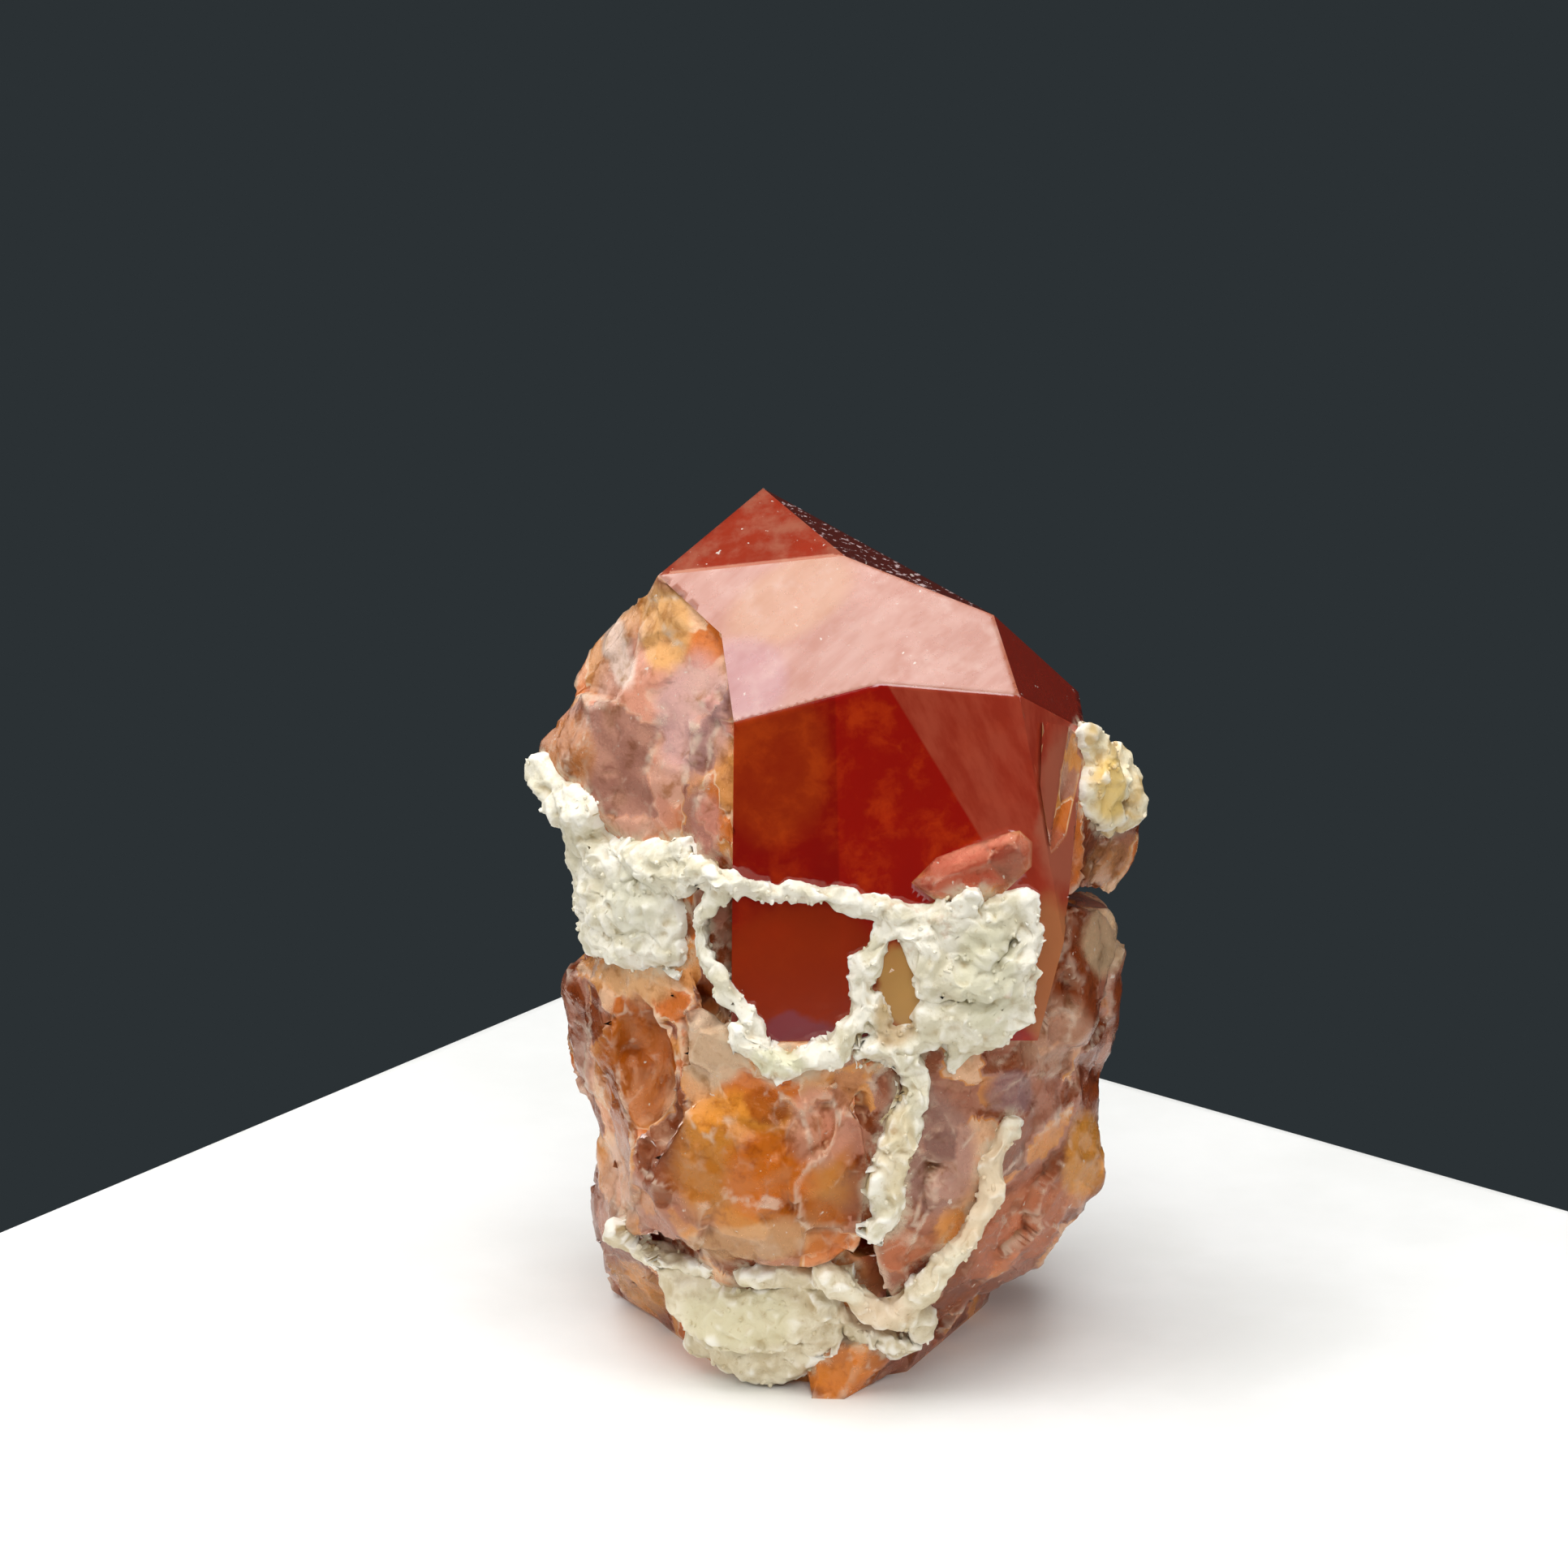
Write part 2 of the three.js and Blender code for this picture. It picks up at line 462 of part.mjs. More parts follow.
// A rhombic dodecahedron, the commonest form of a garnet crystal.
function dodecahedronSolid({ centre, radius, turn, tilt }, margin) {
  const reach = radius + margin;
  const points = [];
  for (const x of [-1, 1]) {
    for (const y of [-1, 1]) {
      for (const z of [-1, 1]) {
        points.push(new THREE.Vector3(x, y, z).multiplyScalar(reach / 2));
      }
    }
  }
  for (const sign of [-1, 1]) {
    points.push(new THREE.Vector3(sign * reach, 0, 0));
    points.push(new THREE.Vector3(0, sign * reach, 0));
    points.push(new THREE.Vector3(0, 0, sign * reach));
  }
  const geometry = new ConvexGeometry(points);
  geometry.rotateX(THREE.MathUtils.degToRad(tilt));
  geometry.rotateZ(THREE.MathUtils.degToRad(turn));
  geometry.translate(...centre);
  return asSolid(geometry);
}

function lumpSolid({ front, back }, margin) {
  const points = front.map(frontPoint);
  points.push(...back.map((point) => new THREE.Vector3(...point)));
  return hullSolid(points, margin);
}

// Everything above the flat that the specimen stands on.
function aboveTheFlat(solid) {
  const block = new THREE.BoxGeometry(CUT_BLOCK, CUT_BLOCK, CUT_BLOCK);
  block.translate(0, 0, CUT_BLOCK / 2);
  return solid.intersect(asSolid(block));
}

function garnetSolid(margin) {
  let whole = gemSolid(margin);
  for (const lump of Object.values(LUMPS)) {
    whole = whole.add(lumpSolid(lump, margin));
  }
  for (const crystal of BACK_CRYSTALS) {
    whole = whole.add(dodecahedronSolid(crystal, margin));
  }
  return aboveTheFlat(whole);
}

// The corners of a rough ball of radius 1, spun a random way.
function raggedBall(detail, raggedness, random) {
  const ball = new THREE.IcosahedronGeometry(1, detail);
  ball.deleteAttribute("normal");
  ball.deleteAttribute("uv");
  const corners = mergeVertices(ball).attributes.position;
  const spin = new THREE.Euler(random() * Math.PI, random() * Math.PI, random() * Math.PI);
  const points = [];
  for (let i = 0; i < corners.count; i++) {
    const point = new THREE.Vector3().fromBufferAttribute(corners, i).applyEuler(spin);
    points.push(point.multiplyScalar(1 + raggedness * (random() - 0.5)));
  }
  return points;
}

// Stretches a ball's corners along the tilted front view, and moves them to a middle.
function frontBall(points, [halfWidth, halfDepth, halfHeight], middle) {
  const stretch = new THREE.Vector3(halfWidth, halfDepth, halfHeight);
  const tilt = new THREE.Euler(-FRONT_TILT, 0, 0);
  return points.map((point) => point.multiply(stretch).applyEuler(tilt).add(middle));
}

function hollowSolid([across, rise, halfWidth, halfHeight, depth], findFront, random) {
  const ball = raggedBall(1, CHIP_RAGGEDNESS, random);
  return hullSolid(frontBall(ball, [halfWidth, depth, halfHeight], findFront(across, rise)));
}

// A repeatable run of numbers from 0 to 1, by Lehmer's rule.
function seededRandom(seed) {
  let state = seed;
  return () => {
    state = (state * LEHMER_FACTOR) % LEHMER_PRIME;
    return state / LEHMER_PRIME;
  };
}

// Finds where the front of a solid lies, looking along the tilted front view.
function frontFinder(solid) {
  const bothSides = new THREE.MeshBasicMaterial({ side: THREE.DoubleSide });
  const target = new THREE.Mesh(asGeometry(solid), bothSides);
  const sight = new THREE.Vector3(0, Math.cos(FRONT_TILT), -Math.sin(FRONT_TILT));
  const caster = new THREE.Raycaster();
  return (across, rise) => {
    const start = frontPoint([across, rise, SIGHT_DEPTH]);
    caster.set(start, sight);
    const [hit] = caster.intersectObject(target);
    return hit ? hit.point : null;
  };
}

// One lump of crust: a rough ball pressed flat against the garnet.
function crustLump([across, rise, radius, depth], findFront, random) {
  const middle = depth === undefined ? findFront(across, rise) : frontPoint([across, rise, depth]);
  if (!middle) {
    throw new Error(`no garnet behind the crust at ${across}, ${rise}`);
  }
  const ball = raggedBall(radius > LARGE_LUMP ? 1 : 0, CRUST_CRAGGINESS, random);
  return frontBall(ball, [radius, CRUST_PROUD + CRUST_SWELL * radius, radius], middle);
}

function crustSolid(runs, findFront, random) {
  let crust = null;
  for (const run of runs) {
    const lumps = run.map((lump) => crustLump(lump, findFront, random));
    for (let i = 1; i < lumps.length; i++) {
      const link = hullSolid([...lumps[i - 1], ...lumps[i]]);
      crust = crust ? crust.add(link) : link;
    }
  }
  return crust;
}

function largestPiece(solid) {
  const pieces = solid.decompose();
  return pieces.reduce((best, piece) => (piece.volume() > best.volume() ? piece : best));
}

function namedMesh(name, solid, color, roughness) {
  const material = new THREE.MeshStandardMaterial({ color, roughness, metalness: 0 });
  const mesh = new THREE.Mesh(asGeometry(solid), material);
  mesh.name = name;
  return mesh;
}

// Moves the meshes so that the specimen stands on the origin, and scales them to its height.
function standOnOrigin(meshes) {
  const box = new THREE.Box3();
  for (const mesh of meshes) {
    box.expandByObject(mesh);
  }
  const middle = box.getCenter(new THREE.Vector3());
  const scale = SPECIMEN_HEIGHT / (box.max.z - box.min.z);
  for (const mesh of meshes) {
    mesh.geometry.translate(-middle.x, -middle.y, -box.min.z);
    mesh.geometry.scale(scale, scale, scale);
  }
}

// The garnet with its chips cut out of the front, and with no sealed pockets left between its lumps.
function chippedGarnet() {
  const unbroken = garnetSolid(0);
  const findFront = frontFinder(unbroken);
  const random = seededRandom(CHIP_SEED);
  const hollows = HOLLOWS.map((hollow) => hollowSolid(hollow, findFront, random));
  return largestPiece(hollows.reduce((rest, hollow) => rest.subtract(hollow), unbroken));
}

function specimenMeshes() {
  const garnet = chippedGarnet();
  const findFront = frontFinder(garnet);
  const garnetAndSeam = garnetSolid(SEAM_GAP);
  const random = seededRandom(CRUST_SEED);
  const meshes = [namedMesh("garnet", garnet, GARNET_COLOUR, GARNET_ROUGHNESS)];
  for (const [name, runs] of Object.entries(CRUST)) {
    const crust = aboveTheFlat(crustSolid(runs, findFront, random)).subtract(garnetAndSeam);
    meshes.push(namedMesh(name, largestPiece(crust), ALBITE_COLOUR, ALBITE_ROUGHNESS));
  }
  return meshes;
}

const meshes = specimenMeshes();
standOnOrigin(meshes);

const specimen = new THREE.Group();
specimen.add(...meshes);

export default specimen;
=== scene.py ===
"""A thumbnail specimen of spessartine garnet with an albite crust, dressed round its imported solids."""

import math

import bmesh
import bpy
import numpy as np
from mathutils import Euler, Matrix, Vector, noise
from mathutils.bvhtree import BVHTree


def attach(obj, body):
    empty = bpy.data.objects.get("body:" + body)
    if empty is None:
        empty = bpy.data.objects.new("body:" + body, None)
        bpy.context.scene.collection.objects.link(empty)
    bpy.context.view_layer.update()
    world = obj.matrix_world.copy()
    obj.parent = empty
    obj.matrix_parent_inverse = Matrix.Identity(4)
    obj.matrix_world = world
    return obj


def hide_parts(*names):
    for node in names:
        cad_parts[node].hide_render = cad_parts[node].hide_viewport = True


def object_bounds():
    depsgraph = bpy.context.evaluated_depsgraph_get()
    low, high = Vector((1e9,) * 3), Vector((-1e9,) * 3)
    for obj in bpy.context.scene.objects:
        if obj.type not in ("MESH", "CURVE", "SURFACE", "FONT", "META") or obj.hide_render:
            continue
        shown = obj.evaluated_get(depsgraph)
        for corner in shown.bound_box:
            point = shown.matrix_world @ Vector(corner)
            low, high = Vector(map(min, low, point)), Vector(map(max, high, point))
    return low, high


# Without a fixed seed, the vector noise starts from the time of day.
NOISE_SEED = 7

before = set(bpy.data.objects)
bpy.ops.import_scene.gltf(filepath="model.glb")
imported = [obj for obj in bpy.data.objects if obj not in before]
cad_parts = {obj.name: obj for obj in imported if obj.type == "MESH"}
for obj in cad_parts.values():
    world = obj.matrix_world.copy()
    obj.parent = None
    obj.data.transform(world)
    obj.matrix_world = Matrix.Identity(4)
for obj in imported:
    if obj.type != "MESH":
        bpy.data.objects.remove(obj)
CAD_BOX = [list(corner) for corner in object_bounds()]
noise.seed_set(NOISE_SEED)

bl_info = {
    "name": "Garnet Specimen",
    "version": (1, 0, 0),
    "blender": (4, 5, 0),
    "location": "View3D > Sidebar > Specimen",
    "description": "Dresses a spessartine garnet specimen with its albite crust",
    "category": "Add Mesh",
}

MM = 0.001
FRONT_TILT = math.radians(19.5)
FRONT_SHIFT = (0.01, -0.28)

# Fine meshes: passes of splitting, how few long edges may stay, and the angle in degrees up to which an
# edge is smooth.
SPLIT_PASSES = 7
FEW_EDGES = 300
GARNET_SMOOTH = 24
CRUST_SMOOTH = 32
FLOOR_SMOOTH = 40

# A triangle lies on a flat face if its normal's cosine is above this and it is this near in millimetres.
FACE_COSINE = 0.9985
FACE_REACH = 0.1

# The broken surface: sizes of its wide and small cells and width of their rims in millimetres, how much
# a ridge counts, and the rings of vertices beside a flat face: all that are counted, and those over
# which the smoothing and the fracture fade in.
WIDE_CELL = 2.1
SMALL_CELL = 0.85
RIM_WIDTH = 0.16
RIDGE_GAIN = 14
MOST_RINGS = 5
SMOOTHING_RINGS = 2
FRACTURE_RINGS = 4

# The crust: it lies on the garnet within the touch and calms the garnet's fracture by a share within the
# reach, both in millimetres, and it is smoothed in a few passes.
CRUST_TOUCH = 0.07
CRUST_REACH = 0.7
CRUST_CALM = 0.7
CRUST_ROUNDING = 3

# The crystal's flat faces: azimuth from the front, elevation, and distance from the origin in mm.
CRYSTAL_FACES = {
    "left_slope": (-18.6, 47.0, 14.30),
    "right_slope": (4.4, 51.7, 15.24),
    "window": (-1.6, 2.7, 5.25),
    "window_right": (-1.2, 2.6, 5.21),
    "left_roof": (-28.0, 64.1, 16.74),
    "right_roof": (75.7, 73.4, 17.19),
    "right_side": (76.8, 34.7, 12.68),
    "back_roof_right": (122.2, 53.5, 14.12),
    "back_roof_left": (-118.6, 38.2, 12.57),
    "back_right": (114.3, 45.4, 13.09),
    "right_cheek": (58.0, 10.0, 8.18),
}
SLOPES = ("left_slope", "right_slope")
ROOFS = ("left_roof", "right_roof", "back_roof_right", "back_roof_left", "back_right")
WINDOWS = ("window", "window_right", "right_cheek")
GARNET_MASKS = (
    "slope_face", "roof_face", "window_face", "side_face", "ridge_face", "near_crust", "ridge", "facet",
    "rim",
)

PALE_EDGE = "#f6dfc6"
STREAK_SHAPE = (1, 1, 6)

# Depths of the colour zones from front to back in millimetres, on broken garnet or crust and on a face.
ZONE_DEPTH = 1.6
FACE_ZONE_DEPTH = 3

# Colour zones of the garnet's front: colour, middle across and up the front view, half sizes across and
# up, turn in degrees and strength. Millimetres.
COLOUR_ZONES = [
    ("#dc9c88", -4.30, 12.40, 1.80, 2.40, 0, 0.75),
    ("#e48e2c", -1.70, 3.40, 2.00, 1.70, 0, 0.9),
    ("#e6ac68", -3.60, 14.66, 0.62, 1.00, -10, 0.9),
    ("#cca0a0", -3.00, 12.90, 0.85, 1.35, 8, 0.7),
    ("#f2d8c8", -4.60, 14.25, 0.40, 1.00, -35, 0.8),
    ("#e08a44", -5.60, 12.05, 0.70, 0.95, 0, 0.85),
    ("#d89484", -2.70, 10.40, 0.32, 1.10, -8, 0.8),
    ("#b8442e", 2.75, 9.85, 1.40, 0.60, -22, 0.9),
    # The thin lighter band on top of the ledge is painted light: its top catching the light from above.
    ("#d0604a", 2.75, 10.15, 1.05, 0.25, -22, 0.7),
    ("#b4604a", 4.30, 9.60, 1.10, 1.00, 5, 0.75),
    ("#7a3a1a", -3.05, 8.70, 0.25, 0.40, 0, 0.8),
    ("#f0b880", -4.35, 7.35, 1.05, 0.36, 12, 0.9),
    ("#b45a08", -4.15, 5.70, 0.95, 1.50, 8, 0.95),
    ("#d9bd9c", -2.60, 6.00, 0.85, 0.85, 0, 0.85),
    ("#dfa890", -5.30, 5.20, 0.32, 1.30, 6, 0.8),
    ("#d6a080", -4.50, 3.10, 0.75, 1.10, 10, 0.8),
    ("#f09a38", -2.30, 4.45, 0.90, 0.75, 0, 0.9),
    ("#ec780e", -1.40, 3.40, 1.00, 0.95, 0, 0.85),
    ("#a84c08", -1.50, 4.80, 0.45, 0.40, 0, 0.8),
    ("#e8a488", -0.40, 4.40, 0.70, 0.85, 0, 0.8),
    ("#c86806", -0.60, 2.30, 0.85, 0.65, 0, 0.88),
    ("#f0b880", -2.00, 1.95, 1.70, 0.42, -12, 0.8),
    ("#eca04c", -4.20, 0.85, 0.95, 0.75, -25, 0.9),
    ("#ea8226", 0.10, -0.75, 1.00, 0.65, 0, 0.85),
    ("#b08478", 1.90, 3.90, 1.00, 1.50, -12, 0.88),
    ("#9c7a80", 3.60, 5.10, 0.70, 0.50, 30, 0.7),
    ("#a8583e", 1.30, 1.70, 0.80, 0.80, 0, 0.8),
    ("#f8a640", 5.20, 3.70, 0.60, 0.95, 0, 0.92),
    ("#dc7c50", 3.90, 2.20, 1.50, 0.90, -35, 0.85),
    ("#f0cca0", 5.60, 8.20, 0.65, 0.75, 0, 0.85),
    ("#d8a080", 4.50, 6.20, 0.85, 0.85, 0, 0.8),
    ("#c08050", 5.60, 9.80, 0.70, 0.50, 0, 0.85),
]

# Zones of the frosted slope faces, and patches laid over the clear faces, in the same way.
SLOPE_ZONES = [
    ("#c88a50", -1.00, 15.20, 1.50, 0.80, -30, 0.5),
    ("#b06a78", -1.90, 13.60, 0.90, 0.90, 0, 0.5),
]
WINDOW_PATCHES = [
    ("#d8a860", 1.30, 7.30, 0.55, 0.90, -10, 0.95),
    ("#c07a4c", 4.30, 7.60, 0.70, 1.70, 0, 0.9),
    ("#b86a50", 4.60, 10.90, 0.60, 1.70, 0, 0.8),
    ("#8c4a58", -0.75, 6.30, 0.75, 0.42, 0, 0.6),
]

# Zones of the three crusts, in the same way.
SEAM_ZONES = [
    ("#cbc5a8", 3.05, 7.60, 0.75, 1.25, 0, 0.85),
    ("#d4cfb8", -4.10, 9.10, 0.75, 0.85, 0, 0.75),
    ("#d8d4b0", -1.30, 5.75, 0.60, 0.30, 0, 0.7),
    ("#b89458", 1.15, 6.60, 0.45, 0.60, 0, 0.7),
    ("#d8c49a", 1.20, 4.00, 0.40, 1.20, 0, 0.6),
]
KNOB_ZONES = [("#e0bc68", 5.55, 11.40, 0.40, 0.80, 0, 0.8)]
FOOT_ZONES = [
    ("#cfc5a0", -1.90, 0.40, 1.40, 0.80, 0, 0.8),
    ("#dfc2a2", 0.90, 0.60, 0.90, 0.60, 0, 0.6),
    ("#dcc4a4", 3.20, 3.00, 1.20, 2.40, -30, 0.7),
]

# The crusts: material, light and dark colour, zones, raggedness and swell in millimetres.
CRUST_FINISHES = {
    "albite_seam": ("albite_cream", "#e9e3d2", "#cfc6aa", SEAM_ZONES, 0.10, 0.0),
    "albite_knob": ("albite_golden", "#e6dabb", "#d2b47c", KNOB_ZONES, 0.06, 0.0),
    "albite_foot": ("albite_greenish", "#ded3b8", "#c6b694", FOOT_ZONES, 0.07, 0.03),
}

# The grains on the crusts: their turn, their smallest and largest size as shares, and the seeds of both.
FULL_TURN = (6.28, 6.28, 6.28)
SMALLEST_GRAIN = (0.45, 0.35, 0.3)
LARGEST_GRAIN = (1.25, 0.95, 0.8)
TURN_SEED = 3
SIZE_SEED = 5

# The floor sheet: thickness, edge rounding, its turn in degrees and its far corner. Millimetres.
FLOOR_THICKNESS = 3
FLOOR_ROUNDING = 0.9
FLOOR_TURN = 50.8
FLOOR_FAR_CORNER = (-3.9, 23.4, 0)

# The soft lights: place, aim, width and height in millimetres, and share of the overhead radiance.
SOFT_LIGHTS = {
    "overhead": ((-12, -16, 95), (-12, -16, 0), (110, 88), 1.0),
    "left_fill": ((-110, -50, 50), (0, 0, 8), (80, 90), 0.5),
    "right_fill": ((110, -50, 50), (0, 0, 8), (80, 90), 0.5),
    "front_fill": ((10, -150, 110), (0, 0, 8), (90, 60), 1.5),
    "back_glow": ((-90, 60, 40), (0, 0, 10), (80, 70), 0.5),
}

CAMERA_AIM = (-1.10, -0.28, 12.14)


class GarnetSettings(bpy.types.PropertyGroup):
    """Sizes and colours of the garnet."""

    edge: bpy.props.FloatProperty(
        name="Edge", description="Longest edge of the fine mesh", default=0.21 * MM, subtype="DISTANCE"
    )
    rounding: bpy.props.IntProperty(
        name="Rounding", description="Smoothing passes over the broken surface", default=4
    )
    fracture: bpy.props.FloatProperty(
        name="Fracture", description="Depth of the broken steps", default=0.3 * MM, subtype="DISTANCE"
    )
    clear_colour: bpy.props.StringProperty(
        name="Clear colour", description="Colour of the gemmy window", default="#a41204"
    )
    broken_colour: bpy.props.StringProperty(
        name="Broken colour", description="Colour of the broken surface", default="#e89a50"
    )
    slope_colour: bpy.props.StringProperty(
        name="Slope colour", description="Colour of the frosted slope faces", default="#b06040"
    )
    roof_colour: bpy.props.StringProperty(
        name="Roof colour", description="Colour of the roof faces", default="#9c3420"
    )
    transmission: bpy.props.FloatProperty(
        name="Transmission", description="Share of light that passes into the garnet", default=0.35
    )
    absorption: bpy.props.FloatProperty(
        name="Absorption", description="Absorption density in each metre", default=520.0
    )


class CrustSettings(bpy.types.PropertyGroup):
    """Sizes of the albite crust."""

    edge: bpy.props.FloatProperty(
        name="Edge", description="Longest edge of the fine mesh", default=0.1 * MM, subtype="DISTANCE"
    )
    grain: bpy.props.FloatProperty(
        name="Grain", description="Size of one loose grain", default=0.17 * MM, subtype="DISTANCE"
    )
    grains_per_mm2: bpy.props.FloatProperty(
        name="Grains", description="Grains on each square millimetre", default=4.0
    )
    sunk: bpy.props.FloatProperty(
        name="Sunk", description="How far the crust's underside reaches into the garnet",
        default=0.22 * MM, subtype="DISTANCE",
    )


class StageSettings(bpy.types.PropertyGroup):
    """The floor, the lights and the camera."""

    floor_side: bpy.props.FloatProperty(
        name="Floor side", description="Side of the square floor", default=42 * MM, subtype="DISTANCE"
    )
    floor_colour: bpy.props.StringProperty(
        name="Floor colour", description="Colour of the floor", default="#f4f4f2"
    )
    backdrop_colour: bpy.props.StringProperty(
        name="Backdrop colour", description="Colour behind the specimen", default="#2b3134"
    )
    light: bpy.props.FloatProperty(
        name="Light", description="Radiance of the overhead light", default=4.3
    )
    camera_distance: bpy.props.FloatProperty(
        name="Camera distance", description="Distance from the camera to its aim",
        default=271.04 * MM, subtype="DISTANCE",
    )
    lens: bpy.props.FloatProperty(name="Lens", description="Focal length in millimetres", default=300)


def linear(colour):
    """An sRGB hex colour as linear RGBA."""
    parts = [int(colour[i:i + 2], 16) / 255 for i in (1, 3, 5)]
    return [p / 12.92 if p <= 0.04045 else ((p + 0.055) / 1.055) ** 2.4 for p in parts] + [1.0]


def scale_for(size_mm):
    """The scale of a noise or cell texture whose features are this many millimetres across."""
    return 1000 / size_mm


def add_node(tree, kind, inputs=None, **settings):
    """Adds a node with its settings, and sets or links its inputs."""
    node = tree.nodes.new(kind)
    for name, value in settings.items():
        setattr(node, name, value)
    for name, value in (inputs or {}).items():
        if isinstance(value, bpy.types.NodeSocket):
            tree.links.new(value, node.inputs[name])
        else:
            node.inputs[name].default_value = value
    return node


def front_point(across, rise, depth):
    """A point of the tilted front view, from millimetres to metres in the frame."""
    height = (rise - math.sin(FRONT_TILT) * depth) / math.cos(FRONT_TILT)
    return Vector((across + FRONT_SHIFT[0], depth + FRONT_SHIFT[1], height)) * MM


# Meshes


def fine_mesh(node_name, edge, name):
    """A merged copy of a CAD node whose edges are split until none is longer than edge."""
    mesh = bmesh.new()
    mesh.from_mesh(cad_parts[node_name].data)
    bmesh.ops.remove_doubles(mesh, verts=mesh.verts, dist=0.001 * MM)
    flat = math.radians(0.2)
    bmesh.ops.dissolve_limit(mesh, angle_limit=flat, verts=mesh.verts, edges=mesh.edges)
    bmesh.ops.triangulate(mesh, faces=mesh.faces, quad_method="BEAUTY", ngon_method="BEAUTY")
    for _ in range(SPLIT_PASSES):
        long_edges = [e for e in mesh.edges if e.calc_length() > edge]
        if len(long_edges) < FEW_EDGES:
            break
        bmesh.ops.subdivide_edges(mesh, edges=long_edges, cuts=1)
        bmesh.ops.triangulate(mesh, faces=mesh.faces, quad_method="BEAUTY", ngon_method="BEAUTY")
    data = bpy.data.meshes.new(name)
    mesh.to_mesh(data)
    mesh.free()
    return data


def read_vectors(collection, attribute):
    """The vectors of a mesh collection as an array."""
    values = np.zeros(len(collection) * 3)
    collection.foreach_get(attribute, values)
    return values.reshape(-1, 3)


def corner_indices(data):
    """The three corners of every triangle."""
    corners = np.zeros(len(data.polygons) * 3, np.int32)
    data.polygons.foreach_get("vertices", corners)
    return corners.reshape(-1, 3)


def edge_indices(data):
    """The two ends of every edge."""
    ends = np.zeros(len(data.edges) * 2, np.int32)
    data.edges.foreach_get("vertices", ends)
    return ends.reshape(-1, 2)


def direction(azimuth, elevation):
    """The direction of a face that looks this way, azimuth 0 being the front."""
    turn, rise = math.radians(azimuth), math.radians(elevation)
    return np.array([math.sin(turn) * math.cos(rise), -math.cos(turn) * math.cos(rise), math.sin(rise)])


def faces_on(data, azimuth, elevation, distance):
    """Which triangles lie on the plane that looks this way at this distance from the origin."""
    normal = direction(azimuth, elevation)
    normals = read_vectors(data.polygons, "normal")
    centres = read_vectors(data.polygons, "center")
    away = np.abs(centres @ normal / MM - distance)
    return (normals @ normal > FACE_COSINE) & (away < FACE_REACH)


def set_face_mask(data, name, mask):
    """Stores a mask of 0 or 1 for each face."""
    layer = data.attributes.new(name, "FLOAT", "FACE")
    layer.data.foreach_set("value", mask.astype(np.float32))


def set_point_value(data, name, values):
    """Stores a value for each vertex."""
    layer = data.attributes.new(name, "FLOAT", "POINT")
    layer.data.foreach_set("value", values.astype(np.float32))


def ridges(data, ends):
    """How far each vertex stands out of its neighbours, from -0.5 in a hollow to 0.5 on a ridge."""
    points, normals = read_vectors(data.vertices, "co"), read_vectors(data.vertices, "normal")
    counts = np.maximum(np.bincount(ends.ravel(), minlength=len(points)), 1)[:, None]
    total = np.zeros_like(points)
    np.add.at(total, ends[:, 0], points[ends[:, 1]] - points[ends[:, 0]])
    np.add.at(total, ends[:, 1], points[ends[:, 0]] - points[ends[:, 1]])
    lift = -np.sum(total / counts * normals, axis=1) / MM
    spread = smoothed(lift[:, None], ends, np.full(len(lift), 0.5), 2)[:, 0]
    return np.clip(spread * RIDGE_GAIN, -0.5, 0.5)


def rings_from(fixed, ends, most):
    """How many edges away each vertex is from the fixed ones, up to a number."""
    rings = np.where(fixed, 0, most)
    for _ in range(most):
        np.minimum.at(rings, ends[:, 0], rings[ends[:, 1]] + 1)
        np.minimum.at(rings, ends[:, 1], rings[ends[:, 0]] + 1)
    return rings


def smoothed(points, ends, weight, passes):
    """Points drawn towards the mean of their neighbours, each by its weight."""
    counts = np.bincount(ends.ravel(), minlength=len(points))[:, None]
    for _ in range(passes):
        total = np.zeros_like(points)
        np.add.at(total, ends[:, 0], points[ends[:, 1]])
        np.add.at(total, ends[:, 1], points[ends[:, 0]])
        points = points + weight[:, None] * (total / np.maximum(counts, 1) - points)
    return points


def broken_cell(point, size):
    """At a point of a broken surface whose cells have this size: how far the cell leans out there, from
    -1 to 1, the cell's own shade, and how close its rim is, both from 0 to 1."""
    distances, middles = noise.voronoi(point / size)
    middle = middles[0]
    lean = noise.cell_vector(middle * 91.7) * 2 - Vector((1, 1, 1))
    shade = noise.cell_vector(middle * 53.1)[0]
    rim = max(0.0, 1 - (distances[1] - distances[0]) * size / RIM_WIDTH)
    return lean.dot(point / size - middle), shade, rim


def broken_look(point):
    """The broken garnet at a point in millimetres: its height as a share of the fracture depth, then the
    shade of its facet and the closeness of a rim, both from 0 to 1."""
    warp = noise.noise_vector(point * 0.9) * 0.35
    coarse, wide_shade, wide_rim = broken_cell(point + warp, WIDE_CELL)
    fine, small_shade, small_rim = broken_cell(point + warp * 0.5, SMALL_CELL)
    ragged = noise.ridged_multi_fractal(point * 1.3, 0.9, 2.1, 4, 1.0, 2.0) - 1.0
    height = 0.75 * coarse + 0.32 * fine + 0.16 * ragged - 0.35
    return height, 0.6 * wide_shade + 0.4 * small_shade, max(wide_rim, 0.6 * small_rim)


def write_points(data, points):
    """Writes the points back to a mesh."""
    data.vertices.foreach_set("co", points.astype(np.float32).ravel())
    data.update()


def keep_inside(data, points):
    """Writes the points back to a mesh, with those outside the CAD box moved to its sides."""
    low, high = (np.array(corner) for corner in CAD_BOX)
    write_points(data, np.clip(points, low, high))


def shade_smooth(data, smooth_degrees):
    """Shades a mesh smooth but for its edges that are sharper than this."""
    data.polygons.foreach_set("use_smooth", np.ones(len(data.polygons), bool))
    data.set_sharp_from_angle(angle=math.radians(smooth_degrees))


